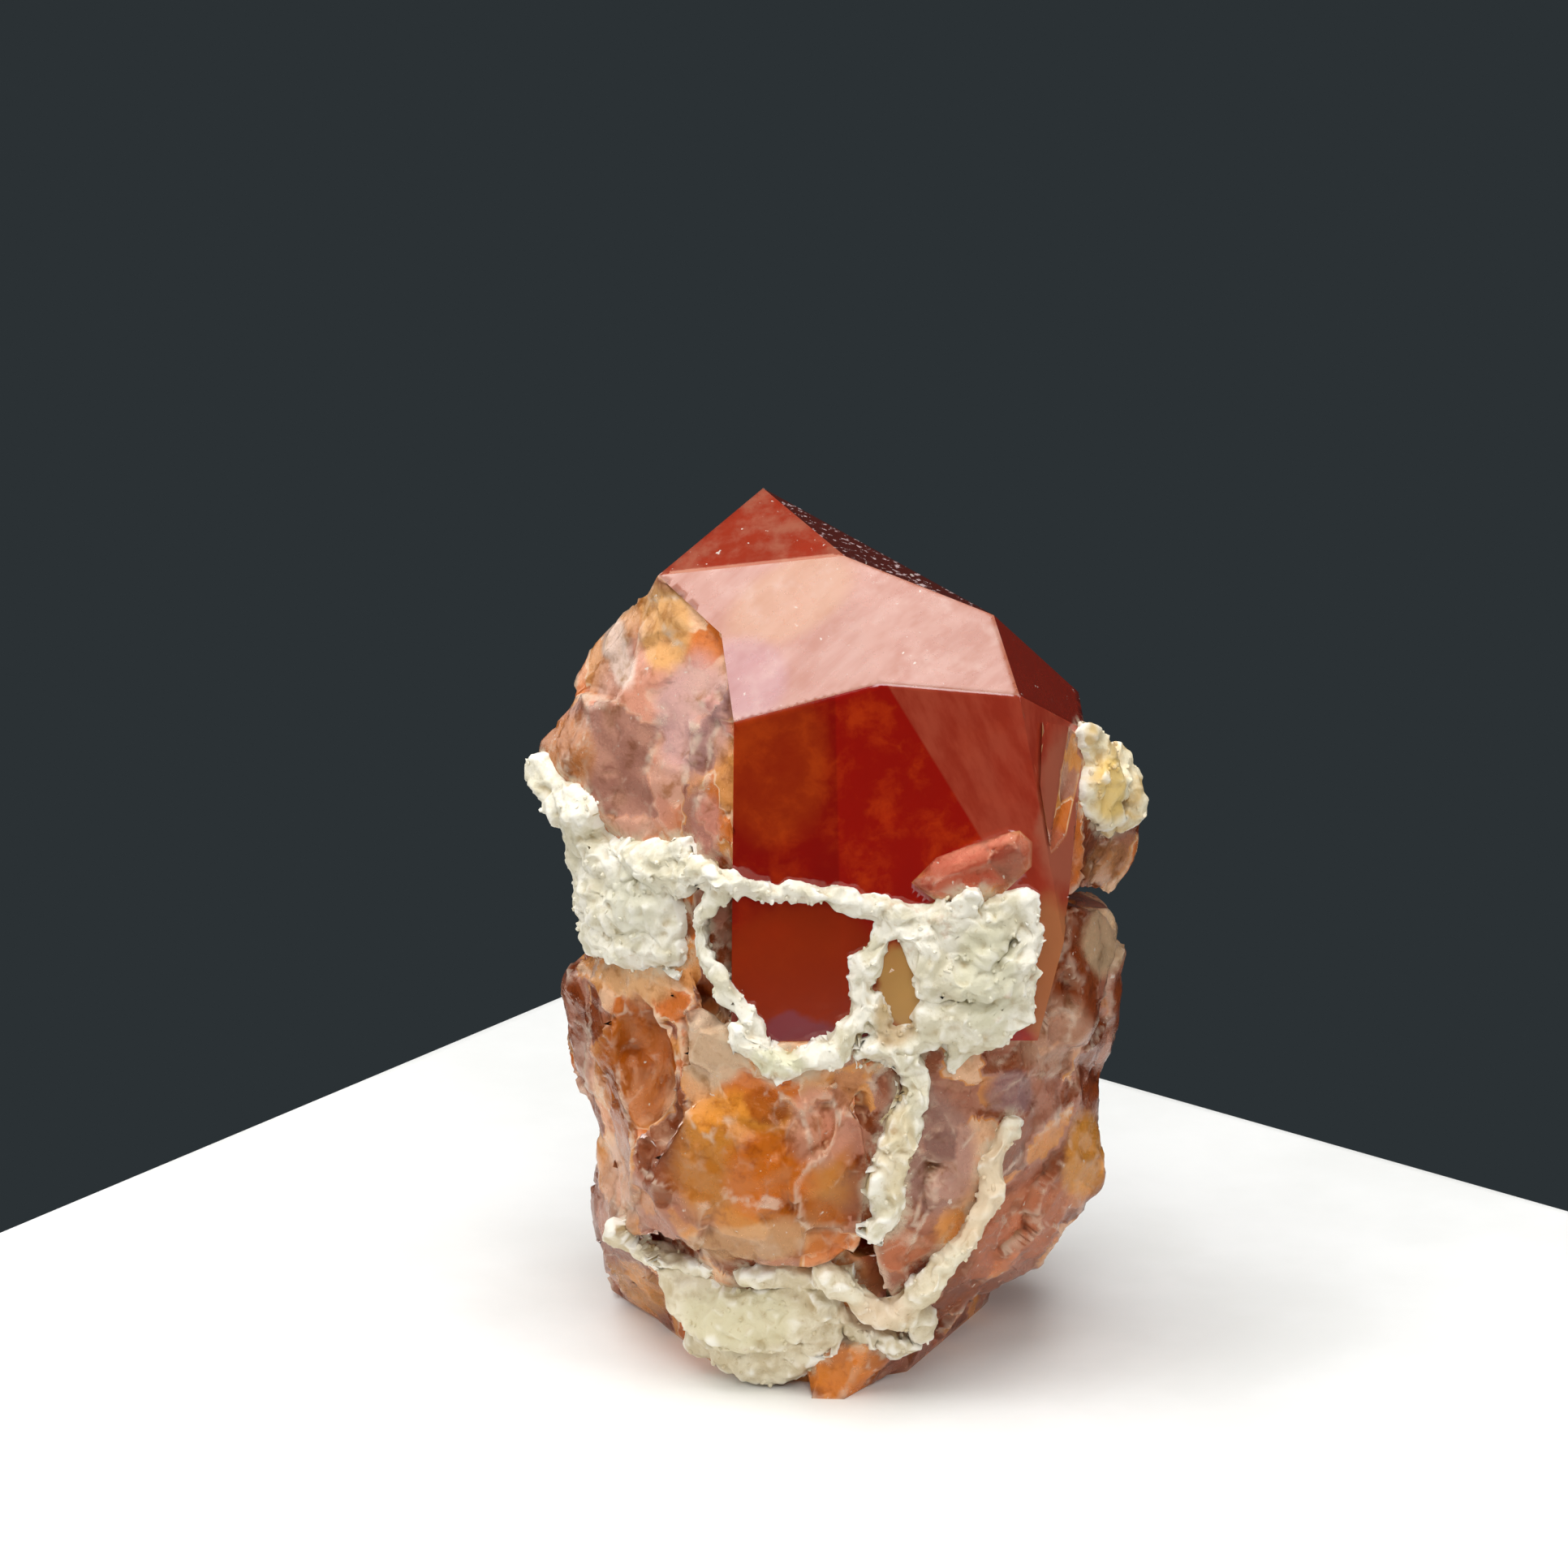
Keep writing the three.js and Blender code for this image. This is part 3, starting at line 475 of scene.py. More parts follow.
def finish_mesh(data, points, ends, smooth_degrees):
    """Writes the points back inside the CAD box, shades the mesh and stores its ridges."""
    keep_inside(data, points)
    shade_smooth(data, smooth_degrees)
    data.update()
    set_point_value(data, "ridge", ridges(data, ends))


def tree_of(name):
    """A search tree over a CAD node's triangles."""
    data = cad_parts[name].data
    corners = [v.co for v in data.vertices]
    return BVHTree.FromPolygons(corners, [tuple(p.vertices) for p in data.polygons])


def near_crust(points, reach):
    """How close each point is to the crust, from 1 on it to 0 at the reach."""
    names = [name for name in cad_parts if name.startswith("albite")]
    trees = [tree_of(name) for name in names]
    near = np.zeros(len(points), np.float32)
    for i, point in enumerate(points):
        for tree in trees:
            hit = tree.find_nearest(Vector(point), reach)
            if hit[0] is not None:
                near[i] = max(near[i], 1 - hit[3] / reach)
    return near


def garnet_mesh(settings):
    """The garnet with flat crystal faces, a flat base and a broken surface elsewhere."""
    data = fine_mesh("garnet", settings.edge, "garnet_body")
    crisp = np.zeros(len(data.polygons), bool)
    masks = {name: faces_on(data, *plane) for name, plane in CRYSTAL_FACES.items()}
    for mask in masks.values():
        crisp |= mask
    crisp |= faces_on(data, 0, -90, 0)
    points, ends = read_vectors(data.vertices, "co"), edge_indices(data)
    fixed = np.zeros(len(points), bool)
    fixed[corner_indices(data)[crisp].ravel()] = True
    rings = rings_from(fixed, ends, MOST_RINGS)
    free = np.clip(rings / FRACTURE_RINGS, 0, 1)
    weight = 0.6 * np.clip(rings / SMOOTHING_RINGS, 0, 1)
    points = smoothed(points, ends, weight, settings.rounding)
    write_points(data, points)
    normals = read_vectors(data.vertices, "normal")
    near = near_crust(points, CRUST_REACH * MM)
    calm = free * (1 - CRUST_CALM * near)
    whole = (0.0, 0.5, 0.0)
    looks = np.array([broken_look(Vector(p / MM)) if c > 0 else whole for p, c in zip(points, calm)])
    points = points + normals * (looks[:, 0] * calm * settings.fracture)[:, None]
    set_face_mask(data, "slope_face", sum(masks[name] for name in SLOPES) > 0)
    set_face_mask(data, "roof_face", sum(masks[name] for name in ROOFS) > 0)
    set_face_mask(data, "window_face", sum(masks[name] for name in WINDOWS) > 0)
    set_face_mask(data, "side_face", masks["right_side"])
    set_face_mask(data, "ridge_face", masks["right_roof"])
    set_point_value(data, "near_crust", near)
    set_point_value(data, "facet", looks[:, 1])
    set_point_value(data, "rim", looks[:, 2] * free)
    finish_mesh(data, points, ends, GARNET_SMOOTH)
    return data


def crust_height(point):
    """Height of the ragged crust at a point in millimetres, from about -1 to 1."""
    torn = noise.ridged_multi_fractal(point / 0.62, 0.8, 2.2, 4, 1.0, 2.0) - 1.0
    swell = noise.noise(point / 0.9)
    return 0.9 * torn + 0.5 * swell + 0.4 * noise.noise(point / 0.2)


def crust_drift(point):
    """How a point of the crust, in millimetres, is pushed about so that its outline is ragged."""
    wide = noise.noise_vector(point * 1.5)
    fine = noise.noise_vector(point * 4.2)
    return wide * 0.14 + fine * 0.08


def crust_mesh(node_name, settings, raggedness, swell):
    """A crust, ragged on its outside, with its underside sunk into the garnet."""
    data = fine_mesh(node_name, settings.edge, node_name + "_crust")
    points, ends = read_vectors(data.vertices, "co"), edge_indices(data)
    garnet = tree_of("garnet")
    under = np.zeros(len(points), bool)
    inward = np.zeros_like(points)
    for i, point in enumerate(points):
        location, normal, _, distance = garnet.find_nearest(Vector(point))
        if distance < CRUST_TOUCH * MM:
            under[i] = True
            inward[i] = normal
    points = smoothed(points, ends, np.where(under, 0.0, 0.5), CRUST_ROUNDING)
    write_points(data, points)
    normals = read_vectors(data.vertices, "normal")
    heights = np.array([crust_height(Vector(p / MM)) for p in points])
    points = points + normals * (np.where(under, 0.0, heights * raggedness + swell))[:, None]
    points = points - inward * settings.sunk
    points = points + np.array([crust_drift(Vector(p / MM)) for p in points]) * MM
    finish_mesh(data, points, ends, CRUST_SMOOTH)
    return data


# Materials


def new_material(name):
    """A material that has only its output and a principled shader."""
    material = bpy.data.materials.new(name)
    material.use_nodes = True
    tree = material.node_tree
    tree.nodes.clear()
    output = add_node(tree, "ShaderNodeOutputMaterial")
    shader = add_node(tree, "ShaderNodeBsdfPrincipled")
    tree.links.new(shader.outputs["BSDF"], output.inputs["Surface"])
    return material, tree, shader, output


def object_place(tree):
    """Object coordinates."""
    return add_node(tree, "ShaderNodeTexCoord").outputs["Object"]


def attribute(tree, name):
    """A value stored on the mesh."""
    return add_node(tree, "ShaderNodeAttribute", attribute_name=name).outputs["Fac"]


def mixed(tree, factor, first, second, blend="MIX"):
    """Two colours mixed by a factor."""
    settings = {0: factor, 6: first, 7: second}
    return add_node(tree, "ShaderNodeMix", settings, data_type="RGBA", blend_type=blend).outputs[2]


def mixed_value(tree, factor, first, second):
    """Two values mixed by a factor."""
    return add_node(tree, "ShaderNodeMix", {0: factor, 2: first, 3: second}).outputs[0]


def multiplied(tree, colour, tint):
    """A colour multiplied by another."""
    return mixed(tree, 1.0, colour, tint, "MULTIPLY")


def ranged(tree, value, low, high, start=0.0, end=1.0):
    """A value eased from one range to another and held at its ends."""
    settings = {"Value": value, "From Min": low, "From Max": high, "To Min": start, "To Max": end}
    node = add_node(tree, "ShaderNodeMapRange", settings, interpolation_type="SMOOTHSTEP")
    return node.outputs["Result"]


def outside(tree, mask):
    """1 where a mask is 0, and 0 where it is 1."""
    return ranged(tree, mask, 1.0, 0.0)


def product(tree, first, second):
    """Two values multiplied."""
    return add_node(tree, "ShaderNodeMath", {0: first, 1: second}, operation="MULTIPLY").outputs[0]


def maximum(tree, first, second):
    """The larger of two values."""
    return add_node(tree, "ShaderNodeMath", {0: first, 1: second}, operation="MAXIMUM").outputs[0]


def combined(tree, operation, first, second):
    """Two vectors combined by an operation."""
    return add_node(tree, "ShaderNodeVectorMath", {0: first, 1: second}, operation=operation).outputs[0]


def overlaid(tree, colour, mask, strength, shade):
    """A colour with a shade laid over it where the mask is."""
    return mixed(tree, product(tree, mask, strength), colour, linear(shade))


def bumped(tree, shader, height, strength, depth_mm):
    """Gives a shader a bump of this depth in millimetres."""
    settings = {"Height": height, "Strength": strength, "Distance": depth_mm * MM}
    bump = add_node(tree, "ShaderNodeBump", settings)
    tree.links.new(bump.outputs["Normal"], shader.inputs["Normal"])


def noise_value(tree, place, size_mm, detail=4.0, roughness=0.55):
    """Noise whose features are this many millimetres across."""
    settings = {"Vector": place, "Scale": scale_for(size_mm), "Detail": detail, "Roughness": roughness}
    return add_node(tree, "ShaderNodeTexNoise", settings).outputs["Fac"]


def warped_place(tree, place, size_mm, amount_mm):
    """Object coordinates pushed about by noise, for ragged edges."""
    settings = {"Vector": place, "Scale": scale_for(size_mm), "Detail": 3.0}
    swirl = add_node(tree, "ShaderNodeTexNoise", settings).outputs["Color"]
    centred = combined(tree, "SUBTRACT", swirl, (0.5, 0.5, 0.5))
    push = add_node(tree, "ShaderNodeVectorMath", {0: centred}, operation="SCALE")
    push.inputs["Scale"].default_value = 2 * amount_mm * MM
    return combined(tree, "ADD", place, push.outputs[0])


def turned_place(tree, place, turn, sizes, **inputs):
    """Coordinates turned in the front view and measured in sizes."""
    settings = {"Vector": place, "Rotation": Euler((-FRONT_TILT, math.radians(turn), 0)), "Scale": sizes}
    return add_node(tree, "ShaderNodeMapping", settings | inputs, vector_type="TEXTURE").outputs[0]


def streaked(tree, place, turn, size_mm):
    """Noise drawn out into streaks that lie at an angle in the front view."""
    return noise_value(tree, turned_place(tree, place, turn, STREAK_SHAPE), size_mm, 4.0, 0.6)


def front_surface(surface, across, rise):
    """Where the garnet's front lies at this place of the front view."""
    start = front_point(across, rise, -20)
    sight = Vector((0, math.cos(FRONT_TILT), -math.sin(FRONT_TILT)))
    hit = surface.ray_cast(start, sight)[0]
    if hit is None:
        raise RuntimeError(f"no garnet in front at {across}, {rise}")
    return hit


def zone_mask(tree, place, surface, zone, depth=ZONE_DEPTH):
    """A soft ellipsoid on the garnet's front: 1 inside, 0 outside. The zone is its middle across and up
    the front view, its half sizes across and up, and its turn."""
    across, rise, half_across, half_rise, turn = zone
    sizes = (half_across * MM, depth * MM, half_rise * MM)
    local = turned_place(tree, place, turn, sizes, Location=front_surface(surface, across, rise))
    reach = add_node(tree, "ShaderNodeVectorMath", {0: local}, operation="LENGTH").outputs["Value"]
    return ranged(tree, reach, 1.15, 0.75)


def with_zones(tree, place, colour, zones, surface):
    """A colour with colour zones laid over it."""
    for shade, *zone, strength in zones:
        colour = overlaid(tree, colour, zone_mask(tree, place, surface, zone), strength, shade)
    return colour


def right_of_line(tree, place, start, end):
    """1 on the right of a line drawn downwards over the front view, 0 on its left."""
    run, drop = end[0] - start[0], start[1] - end[1]
    length = math.hypot(run, drop)
    across, rise = drop / length, run / length
    normal = (across, rise * math.sin(FRONT_TILT), rise * math.cos(FRONT_TILT))
    offset = combined(tree, "SUBTRACT", place, front_point(start[0], start[1], 0))
    reach = add_node(tree, "ShaderNodeVectorMath", {0: offset, 1: normal}, operation="DOT_PRODUCT")
    return ranged(tree, reach.outputs["Value"], 0.0, 0.06 * MM)


def broken_colour(tree, place, ragged, mottle, masks, settings, surface):
    """The broken garnet: facets in several hues, colour zones, pale rims, ridges paled by chips and a
    painted highlight, and painted shade in the hollows.
    """
    colour = linear("#a04a1c")
    hues = ((0.34, "#c8846a"), (0.46, settings.broken_colour), (0.57, "#f0c098"), (0.7, "#d8742c"))
    for middle, hue in hues:
        step = ranged(tree, masks["facet"], middle - 0.03, middle + 0.05)
        colour = mixed(tree, step, colour, linear(hue))
    colour = with_zones(tree, ragged, colour, COLOUR_ZONES, surface)
    dark = multiplied(tree, colour, (0.62, 0.5, 0.35, 1))
    colour = mixed(tree, ranged(tree, mottle, 0.5, 0.3), colour, dark)
    pale = mixed(tree, 0.55, colour, linear("#e8cdb8"))
    colour = mixed(tree, ranged(tree, mottle, 0.6, 0.78), colour, pale)
    colour = multiplied(tree, colour, ranged(tree, masks["facet"], 0.25, 0.75, 0.75, 1.2))
    patchy = ranged(tree, noise_value(tree, place, 0.5, 4.0), 0.42, 0.58)
    pale_rim = product(tree, ranged(tree, masks["rim"], 0.3, 0.9), patchy)
    colour = overlaid(tree, colour, pale_rim, 0.6, PALE_EDGE)
    # Paler ridges: partly chipped edges, partly a painted highlight where the edges catch the light.
    colour = overlaid(tree, colour, ranged(tree, masks["ridge"], 0.12, 0.45), 0.5, PALE_EDGE)
    # Painted shade: the hollows of the broken surface are darkened where shade falls.
    hollow = multiplied(tree, colour, (0.55, 0.4, 0.25, 1))
    return mixed(tree, ranged(tree, masks["ridge"], -0.08, -0.4), colour, hollow)


def slope_colour(tree, place, settings, surface):
    """The frosted slope faces: salmon and violet by turns, with slanting streaks and a pale middle."""
    streaks = ranged(tree, streaked(tree, place, 50, 0.35), 0.35, 0.65)
    colour = mixed(tree, streaks, linear(settings.slope_colour), linear("#c0806a"))
    for shade, *zone, strength in SLOPE_ZONES:
        mask = zone_mask(tree, place, surface, zone, FACE_ZONE_DEPTH)
        colour = overlaid(tree, colour, mask, strength, shade)
    veil = noise_value(tree, place, 0.9, 5.0, 0.6)
    return mixed(tree, ranged(tree, veil, 0.52, 0.72, 0.0, 0.45), colour, linear("#d8b0a0"))


def window_colour(tree, place, ragged, settings, surface):
    """The gemmy window: deep red with orange clouds on the left, a hazy streaked part on the right."""
    clouds = noise_value(tree, ragged, 0.8, 6.0, 0.65)
    cloudy = ranged(tree, clouds, 0.45, 0.75)
    colour = mixed(tree, cloudy, linear(settings.clear_colour), linear("#c4380a"))
    bright_side = right_of_line(tree, place, (-0.1, 13.3), (0.0, 9.0))
    dusky = multiplied(tree, colour, (0.78, 0.7, 0.7, 1))
    colour = mixed(tree, bright_side, dusky, colour)
    left = zone_mask(tree, ragged, surface, (-1.4, 11.9, 1.2, 1.8, 0), FACE_ZONE_DEPTH)
    colour = overlaid(tree, colour, product(tree, left, 0.4), clouds, "#e06418")
    haze = right_of_line(tree, place, (0.98, 13.43), (2.91, 10.29))
    streaks = ranged(tree, streaked(tree, place, -25, 0.4), 0.35, 0.7)
    hazy = mixed(tree, streaks, linear("#a83a24"), linear("#bc5238"))
    colour = mixed(tree, product(tree, haze, 0.85), colour, hazy)
    oval = zone_mask(tree, ragged, surface, (-0.75, 7.6, 1.7, 1.6, 0), FACE_ZONE_DEPTH)
    colour = overlaid(tree, colour, oval, 0.8, "#a03206")
    return with_zones(tree, ragged, colour, WINDOW_PATCHES, surface)


def with_crystal_faces(tree, place, ragged, veil, colour, masks, settings, surface):
    """The broken garnet's colour with the crystal's flat faces laid over it."""
    window = window_colour(tree, place, ragged, settings, surface)
    colour = mixed(tree, masks["window_face"], colour, window)
    slope = slope_colour(tree, place, settings, surface)
    colour = mixed(tree, masks["slope_face"], colour, slope)
    roof = mixed(tree, ranged(tree, veil, 0.4, 0.7), linear(settings.roof_colour), linear("#a8604a"))
    colour = mixed(tree, masks["roof_face"], colour, roof)
    # The right roof: a dark face whose tiny pale specks are painted glints.
    painted_glints = ranged(tree, noise_value(tree, place, 0.13, 4.0), 0.56, 0.68)
    dusky = mixed(tree, painted_glints, linear("#4a1c16"), linear("#cbb2b2"))
    colour = mixed(tree, masks["ridge_face"], colour, dusky)
    return mixed(tree, masks["side_face"], colour, linear("#7a1f10"))


def with_flecks(tree, place, colour, near_crust_mask, broken):
    """The garnet's colour with pale flecks, partly flakes of albite and partly painted glints, and a
    film of crust close to the crust.
    """
    # Pale flecks on the broken surface: partly albite flakes, partly painted glints.
    flecks = ranged(tree, noise_value(tree, place, 0.16, 2.0), 0.7, 0.76)
    colour = overlaid(tree, colour, product(tree, flecks, broken), 0.8, "#efe2d4")
    film = ranged(tree, noise_value(tree, place, 0.35, 4.0, 0.6), 0.42, 0.6)
    film = product(tree, ranged(tree, near_crust_mask, 0.55, 1.0), film)
    return overlaid(tree, colour, product(tree, film, broken), 0.75, "#e8dcc0")


def garnet_material(settings):
    """Spessartine garnet, flat growth faces above and conchoidal fracture below: clear and red where it
    is thick and whole, hazy orange and pink where cracks scatter the light."""
    material, tree, shader, output = new_material("spessartine_garnet")
    place = object_place(tree)
    ragged = warped_place(tree, place, 0.9, 0.3)
    ragged = warped_place(tree, ragged, 0.22, 0.07)
    mottle = noise_value(tree, ragged, 0.55, 6.0, 0.65)
    veil = noise_value(tree, place, 0.7, 5.0, 0.6)
    masks = {name: attribute(tree, name) for name in GARNET_MASKS}
    surface = tree_of("garnet")
    broken = outside(tree, masks["window_face"])
    colour = broken_colour(tree, place, ragged, mottle, masks, settings, surface)
    colour = with_crystal_faces(tree, place, ragged, veil, colour, masks, settings, surface)
    colour = with_flecks(tree, place, colour, masks["near_crust"], broken)
    tree.links.new(colour, shader.inputs["Base Color"])
    unpolished = product(tree, broken, outside(tree, masks["slope_face"]))
    tint = mixed(tree, unpolished, linear("#ffffff"), (1.0, 0.66, 0.42, 1))
    tree.links.new(tint, shader.inputs["Specular Tint"])
    smooth_faces = maximum(tree, masks["window_face"], masks["roof_face"])
    rough = ranged(tree, mottle, 0.3, 0.7, 0.12, 0.32)
    roughness = mixed_value(tree, smooth_faces, rough, 0.12)
    veiled = ranged(tree, veil, 0.35, 0.7, 0.2, 0.42)
    roughness = mixed_value(tree, masks["slope_face"], roughness, veiled)
    tree.links.new(roughness, shader.inputs["Roughness"])
    crystal = maximum(tree, smooth_faces, masks["slope_face"])
    grit = noise_value(tree, place, 0.25, 8.0, 0.65)
    bumped(tree, shader, grit, ranged(tree, crystal, 0.0, 1.0, 0.4, 0.04), 0.06)
    shader.inputs["IOR"].default_value = 1.8
    shader.inputs["Specular IOR Level"].default_value = 0.35
    shader.inputs["Transmission Weight"].default_value = settings.transmission
    body = add_node(tree, "ShaderNodeVolumeAbsorption")
    body.inputs["Color"].default_value = (0.95, 0.45, 0.1, 1)
    body.inputs["Density"].default_value = settings.absorption
    tree.links.new(body.outputs["Volume"], output.inputs["Volume"])
    return material


def albite_material(name, light, dark, zones):
    """Albite feldspar in a ragged crust: chalky on its crests, stained in its hollows and in spots."""
    material, tree, shader, _ = new_material(name)
    place = object_place(tree)
    ragged = warped_place(tree, place, 0.5, 0.15)
    tint = noise_value(tree, ragged, 0.7, 5.0, 0.6)
    colour = mixed(tree, ranged(tree, tint, 0.4, 0.62), linear(light), linear(dark))
    colour = with_zones(tree, ragged, colour, zones, tree_of("garnet"))
    ridge = attribute(tree, "ridge")
    stained = multiplied(tree, colour, (0.72, 0.6, 0.42, 1))
    colour = mixed(tree, ranged(tree, ridge, -0.02, -0.3), colour, stained)
    specks = noise_value(tree, place, 0.12, 4.0, 0.65)
    colour = mixed(tree, product(tree, ranged(tree, specks, 0.42, 0.3), 0.5), colour, stained)
    colour = overlaid(tree, colour, ranged(tree, ridge, 0.04, 0.3), 0.7, "#f4f0e6")
    rust = ranged(tree, noise_value(tree, place, 0.6, 5.0), 0.62, 0.75)
    colour = overlaid(tree, colour, rust, 0.5, "#b07c40")
    tree.links.new(colour, shader.inputs["Base Color"])
    tree.links.new(ranged(tree, specks, 0.3, 0.7, 0.35, 0.65), shader.inputs["Roughness"])
    bumped(tree, shader, noise_value(tree, place, 0.16, 6.0, 0.7), 0.5, 0.05)
    shader.inputs["IOR"].default_value = 1.53
    return material


def acrylic_material(colour):
    """Frosted acrylic sheet: pale, even and softly matt, with faint clouding."""
    material, tree, shader, _ = new_material("frosted_acrylic")
    place = object_place(tree)
    clouding = ranged(tree, noise_value(tree, place, 6.0, 5.0), 0.3, 0.7)
    shade = mixed(tree, clouding, linear(colour), linear("#ebebe8"))
    tree.links.new(shade, shader.inputs["Base Color"])
    shader.inputs["Roughness"].default_value = 0.55
    bumped(tree, shader, noise_value(tree, place, 0.3, 4.0), 0.15, 0.03)
    return material


# Pieces


def grain_tree(material):
    """Geometry nodes that scatter small angular grains over a crust and keep the crust with them."""
    tree = bpy.data.node_groups.new("albite_grains", "GeometryNodeTree")
    inputs = {
        "Geometry": "NodeSocketGeometry",
        "Grain Size": "NodeSocketFloat",
        "Density": "NodeSocketFloat",
        "Seed": "NodeSocketInt",
    }
    for name, kind in inputs.items():
        tree.interface.new_socket(name, in_out="INPUT", socket_type=kind)
    tree.interface.new_socket("Geometry", in_out="OUTPUT", socket_type="NodeSocketGeometry")
    given = add_node(tree, "NodeGroupInput").outputs
    spread = {"Mesh": given["Geometry"], "Density": given["Density"], "Seed": given["Seed"]}
    points = add_node(tree, "GeometryNodeDistributePointsOnFaces", spread).outputs["Points"]
    ball = {"Subdivisions": 1, "Radius": 0.5}
    grain = add_node(tree, "GeometryNodeMeshIcoSphere", ball).outputs["Mesh"]
    turn = {0: (0, 0, 0), 1: FULL_TURN, "Seed": TURN_SEED}
    turned = add_node(tree, "FunctionNodeRandomValue", turn, data_type="FLOAT_VECTOR").outputs[0]
    sizes = {0: SMALLEST_GRAIN, 1: LARGEST_GRAIN, "Seed": SIZE_SEED}
    varied = add_node(tree, "FunctionNodeRandomValue", sizes, data_type="FLOAT_VECTOR").outputs[0]
    scaled = add_node(tree, "ShaderNodeVectorMath", {0: varied}, operation="SCALE")
    tree.links.new(given["Grain Size"], scaled.inputs["Scale"])
    settings = {"Points": points, "Instance": grain, "Rotation": turned, "Scale": scaled.outputs[0]}
    placed = add_node(tree, "GeometryNodeInstanceOnPoints", settings).outputs["Instances"]
    joined = add_node(tree, "GeometryNodeJoinGeometry", {"Geometry": placed})
    tree.links.new(given["Geometry"], joined.inputs["Geometry"])
    real = add_node(tree, "GeometryNodeRealizeInstances", {"Geometry": joined.outputs[0]}).outputs[0]
    last = add_node(tree, "GeometryNodeSetMaterial", {"Geometry": real, "Material": material}).outputs[0]
    add_node(tree, "NodeGroupOutput", {"Geometry": last})
    return tree


def with_grains(piece, tree, settings, seed):
    """Replaces a piece's mesh by the mesh that the grain nodes make of it."""
    modifier = piece.modifiers.new("grains", "NODES")
    modifier.node_group = tree
    values = {
        "Grain Size": settings.grain,
        "Density": settings.grains_per_mm2 / MM**2,
        "Seed": seed,
    }
    for socket in tree.interface.items_tree:
        if socket.in_out == "INPUT" and socket.name in values:
            modifier[socket.identifier] = values[socket.name]
    graph = bpy.context.evaluated_depsgraph_get()
    made = bpy.data.meshes.new_from_object(piece.evaluated_get(graph), depsgraph=graph)
    piece.modifiers.clear()
    piece.data = made


def add_object(name, data):
    """Adds an object to the scene."""
    made = bpy.data.objects.new(name, data)
    bpy.context.scene.collection.objects.link(made)
    return made


def stand_for(piece, node):
    """Makes a piece ride on the specimen in the place of a CAD node."""
    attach(piece, "root")
    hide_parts(node)


class SPECIMEN_OT_garnet(bpy.types.Operator):
    """Make the garnet: crystal faces, broken surface and its see-through material"""

    bl_idname = "specimen.garnet"
    bl_label = "Garnet"

    def execute(self, context):
        settings = context.scene.specimen_garnet
        data = garnet_mesh(settings)
        data.materials.append(garnet_material(settings))
        stand_for(add_object("garnet_body", data), "garnet")
        return {"FINISHED"}


class SPECIMEN_OT_crust(bpy.types.Operator):
    """Make the three pieces of albite crust with their grains"""

    bl_idname = "specimen.crust"
    bl_label = "Albite crust"

    def execute(self, context):
        settings = context.scene.specimen_crust
        materials = [albite_material(*finish[:4]) for finish in CRUST_FINISHES.values()]
        for seed, (node, material) in enumerate(zip(CRUST_FINISHES, materials)):
            raggedness, swell = CRUST_FINISHES[node][4:]
            data = crust_mesh(node, settings, raggedness * MM, swell * MM)
            piece = add_object(node + "_crust", data)
            with_grains(piece, grain_tree(material), settings, seed)
            keep_inside(piece.data, read_vectors(piece.data.vertices, "co"))
            stand_for(piece, node)
        return {"FINISHED"}


def soft_light(name, place_mm, aim_mm, size_mm, radiance):
    """A rectangular soft light that looks at a place, with an even radiance over its face."""
    data = bpy.data.lights.new(name, "AREA")
    data.shape = "RECTANGLE"
    data.size, data.size_y = (side * MM for side in size_mm)
    data.energy = radiance * math.pi * data.size * data.size_y
    lamp = add_object(name, data)
    lamp.location = Vector(place_mm) * MM
    lamp.rotation_euler = (Vector(aim_mm) - Vector(place_mm)).to_track_quat("-Z", "Y").to_euler()


class SPECIMEN_OT_stage(bpy.types.Operator):
    """Make the floor, the backdrop, the lights and the camera"""

    bl_idname = "specimen.stage"
    bl_label = "Stage"

    def execute(self, context):
        settings = context.scene.specimen_stage
        add_floor(settings)
        add_backdrop(settings)
        add_lights(settings)
        add_camera(settings)
        return {"FINISHED"}


def add_floor(settings):
    """A square pale sheet, turned so that its far corner lies behind the specimen."""
    side, thick = settings.floor_side, FLOOR_THICKNESS * MM
    mesh = bmesh.new()
    bmesh.ops.create_cube(mesh, size=1)
    bmesh.ops.scale(mesh, vec=(side, side, thick), verts=mesh.verts)
    rounding = FLOOR_ROUNDING * MM
    bmesh.ops.bevel(mesh, geom=mesh.edges[:], offset=rounding, segments=5, affect="EDGES", profile=0.5)
    turn = Euler((0, 0, math.radians(FLOOR_TURN))).to_matrix()
    far_corner = Vector(FLOOR_FAR_CORNER) * MM
    middle = far_corner - turn @ Vector((side / 2, side / 2, 0))
    bmesh.ops.rotate(mesh, matrix=turn, verts=mesh.verts)
    bmesh.ops.translate(mesh, vec=middle - Vector((0, 0, thick / 2)), verts=mesh.verts)
    data = bpy.data.meshes.new("floor_sheet")
    mesh.to_mesh(data)
    mesh.free()
    shade_smooth(data, FLOOR_SMOOTH)
    floor = add_object("floor_sheet", data)
    data.materials.append(acrylic_material(settings.floor_colour))


def add_backdrop(settings):
    """A plain dark world, shown without a film curve."""
    bpy.context.scene.view_settings.view_transform = "Standard"
    world = bpy.data.worlds.new("backdrop")
    world.use_nodes = True
    bpy.context.scene.world = world
    background = world.node_tree.nodes["Background"]
    background.inputs["Color"].default_value = linear(settings.backdrop_colour)
    background.inputs["Strength"].default_value = 1.0


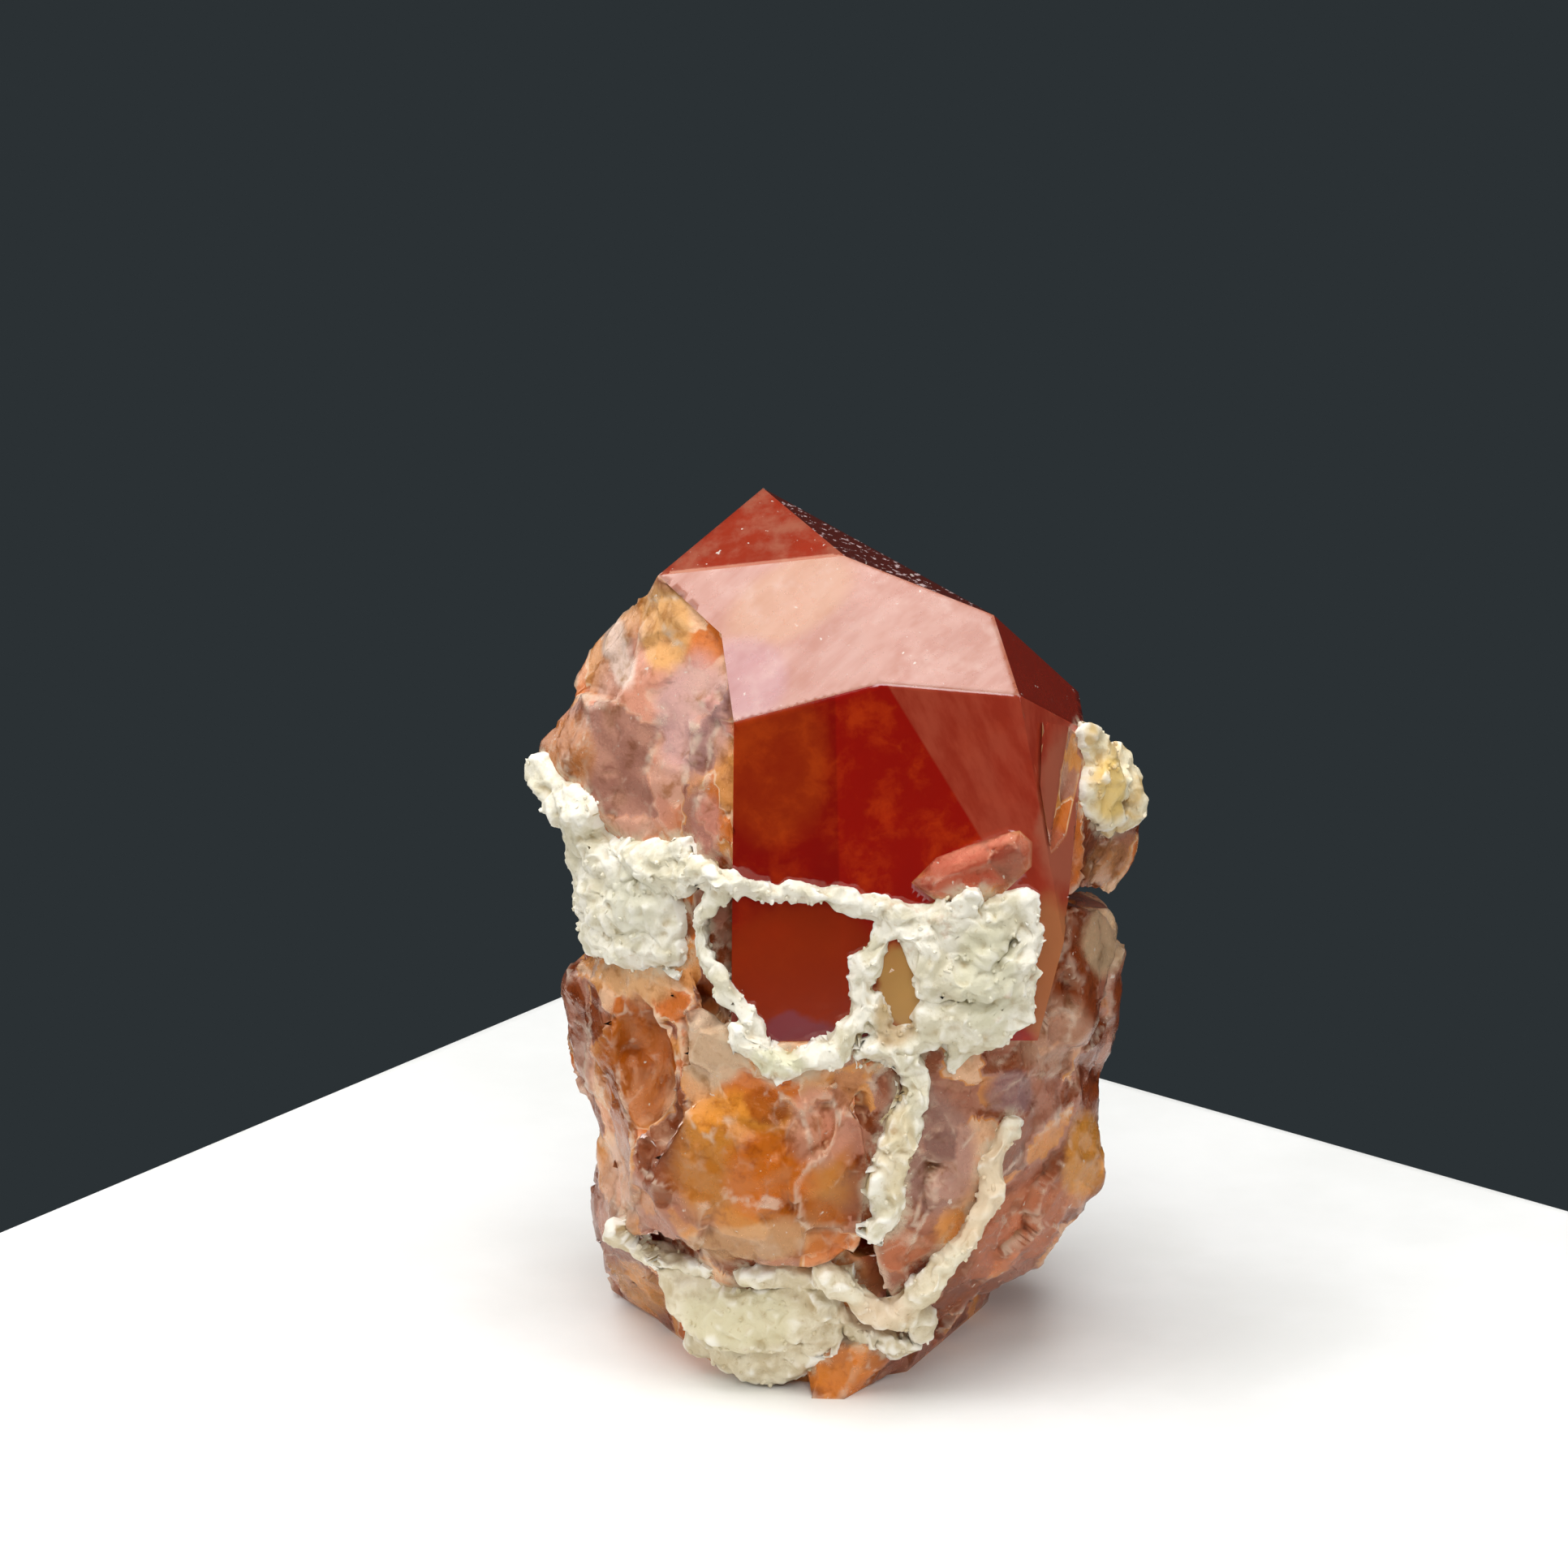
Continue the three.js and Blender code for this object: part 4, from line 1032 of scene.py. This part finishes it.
def add_lights(settings):
    """A large light overhead, which the slope faces mirror, with side, front and back fills."""
    for name, (place, aim, size, share) in SOFT_LIGHTS.items():
        soft_light(name, place, aim, size, settings.light * share)


def add_camera(settings):
    """A camera at the photograph's viewing angle."""
    data = bpy.data.cameras.new("camera")
    data.sensor_width = 36
    data.lens = settings.lens
    data.clip_start, data.clip_end = 0.01, 5
    camera = add_object("camera", data)
    aim = Vector(CAMERA_AIM) * MM
    back = Vector((0, -math.cos(FRONT_TILT), math.sin(FRONT_TILT)))
    camera.location = aim + back * settings.camera_distance
    camera.rotation_euler = (-back).to_track_quat("-Z", "Y").to_euler()
    bpy.context.scene.camera = camera


class SPECIMEN_PT_panel(bpy.types.Panel):
    """Lists the specimen's operators and settings"""

    bl_idname = "SPECIMEN_PT_panel"
    bl_label = "Specimen"
    bl_space_type = "VIEW_3D"
    bl_region_type = "UI"
    bl_category = "Specimen"

    def draw(self, context):
        groups = {
            "specimen.garnet": context.scene.specimen_garnet,
            "specimen.crust": context.scene.specimen_crust,
            "specimen.stage": context.scene.specimen_stage,
        }
        for operator, settings in groups.items():
            self.layout.operator(operator)
            for name in settings.bl_rna.properties.keys():
                if name not in ("rna_type", "name"):
                    self.layout.prop(settings, name)


CLASSES = (
    GarnetSettings,
    CrustSettings,
    StageSettings,
    SPECIMEN_OT_garnet,
    SPECIMEN_OT_crust,
    SPECIMEN_OT_stage,
    SPECIMEN_PT_panel,
)


def register():
    for kind in CLASSES:
        bpy.utils.register_class(kind)
    bpy.types.Scene.specimen_garnet = bpy.props.PointerProperty(type=GarnetSettings)
    bpy.types.Scene.specimen_crust = bpy.props.PointerProperty(type=CrustSettings)
    bpy.types.Scene.specimen_stage = bpy.props.PointerProperty(type=StageSettings)


def unregister():
    del bpy.types.Scene.specimen_garnet
    del bpy.types.Scene.specimen_crust
    del bpy.types.Scene.specimen_stage
    for kind in reversed(CLASSES):
        bpy.utils.unregister_class(kind)


def main():
    register()
    bpy.ops.specimen.garnet()
    bpy.ops.specimen.crust()
    bpy.ops.specimen.stage()


if __name__ == "__main__":
    main()
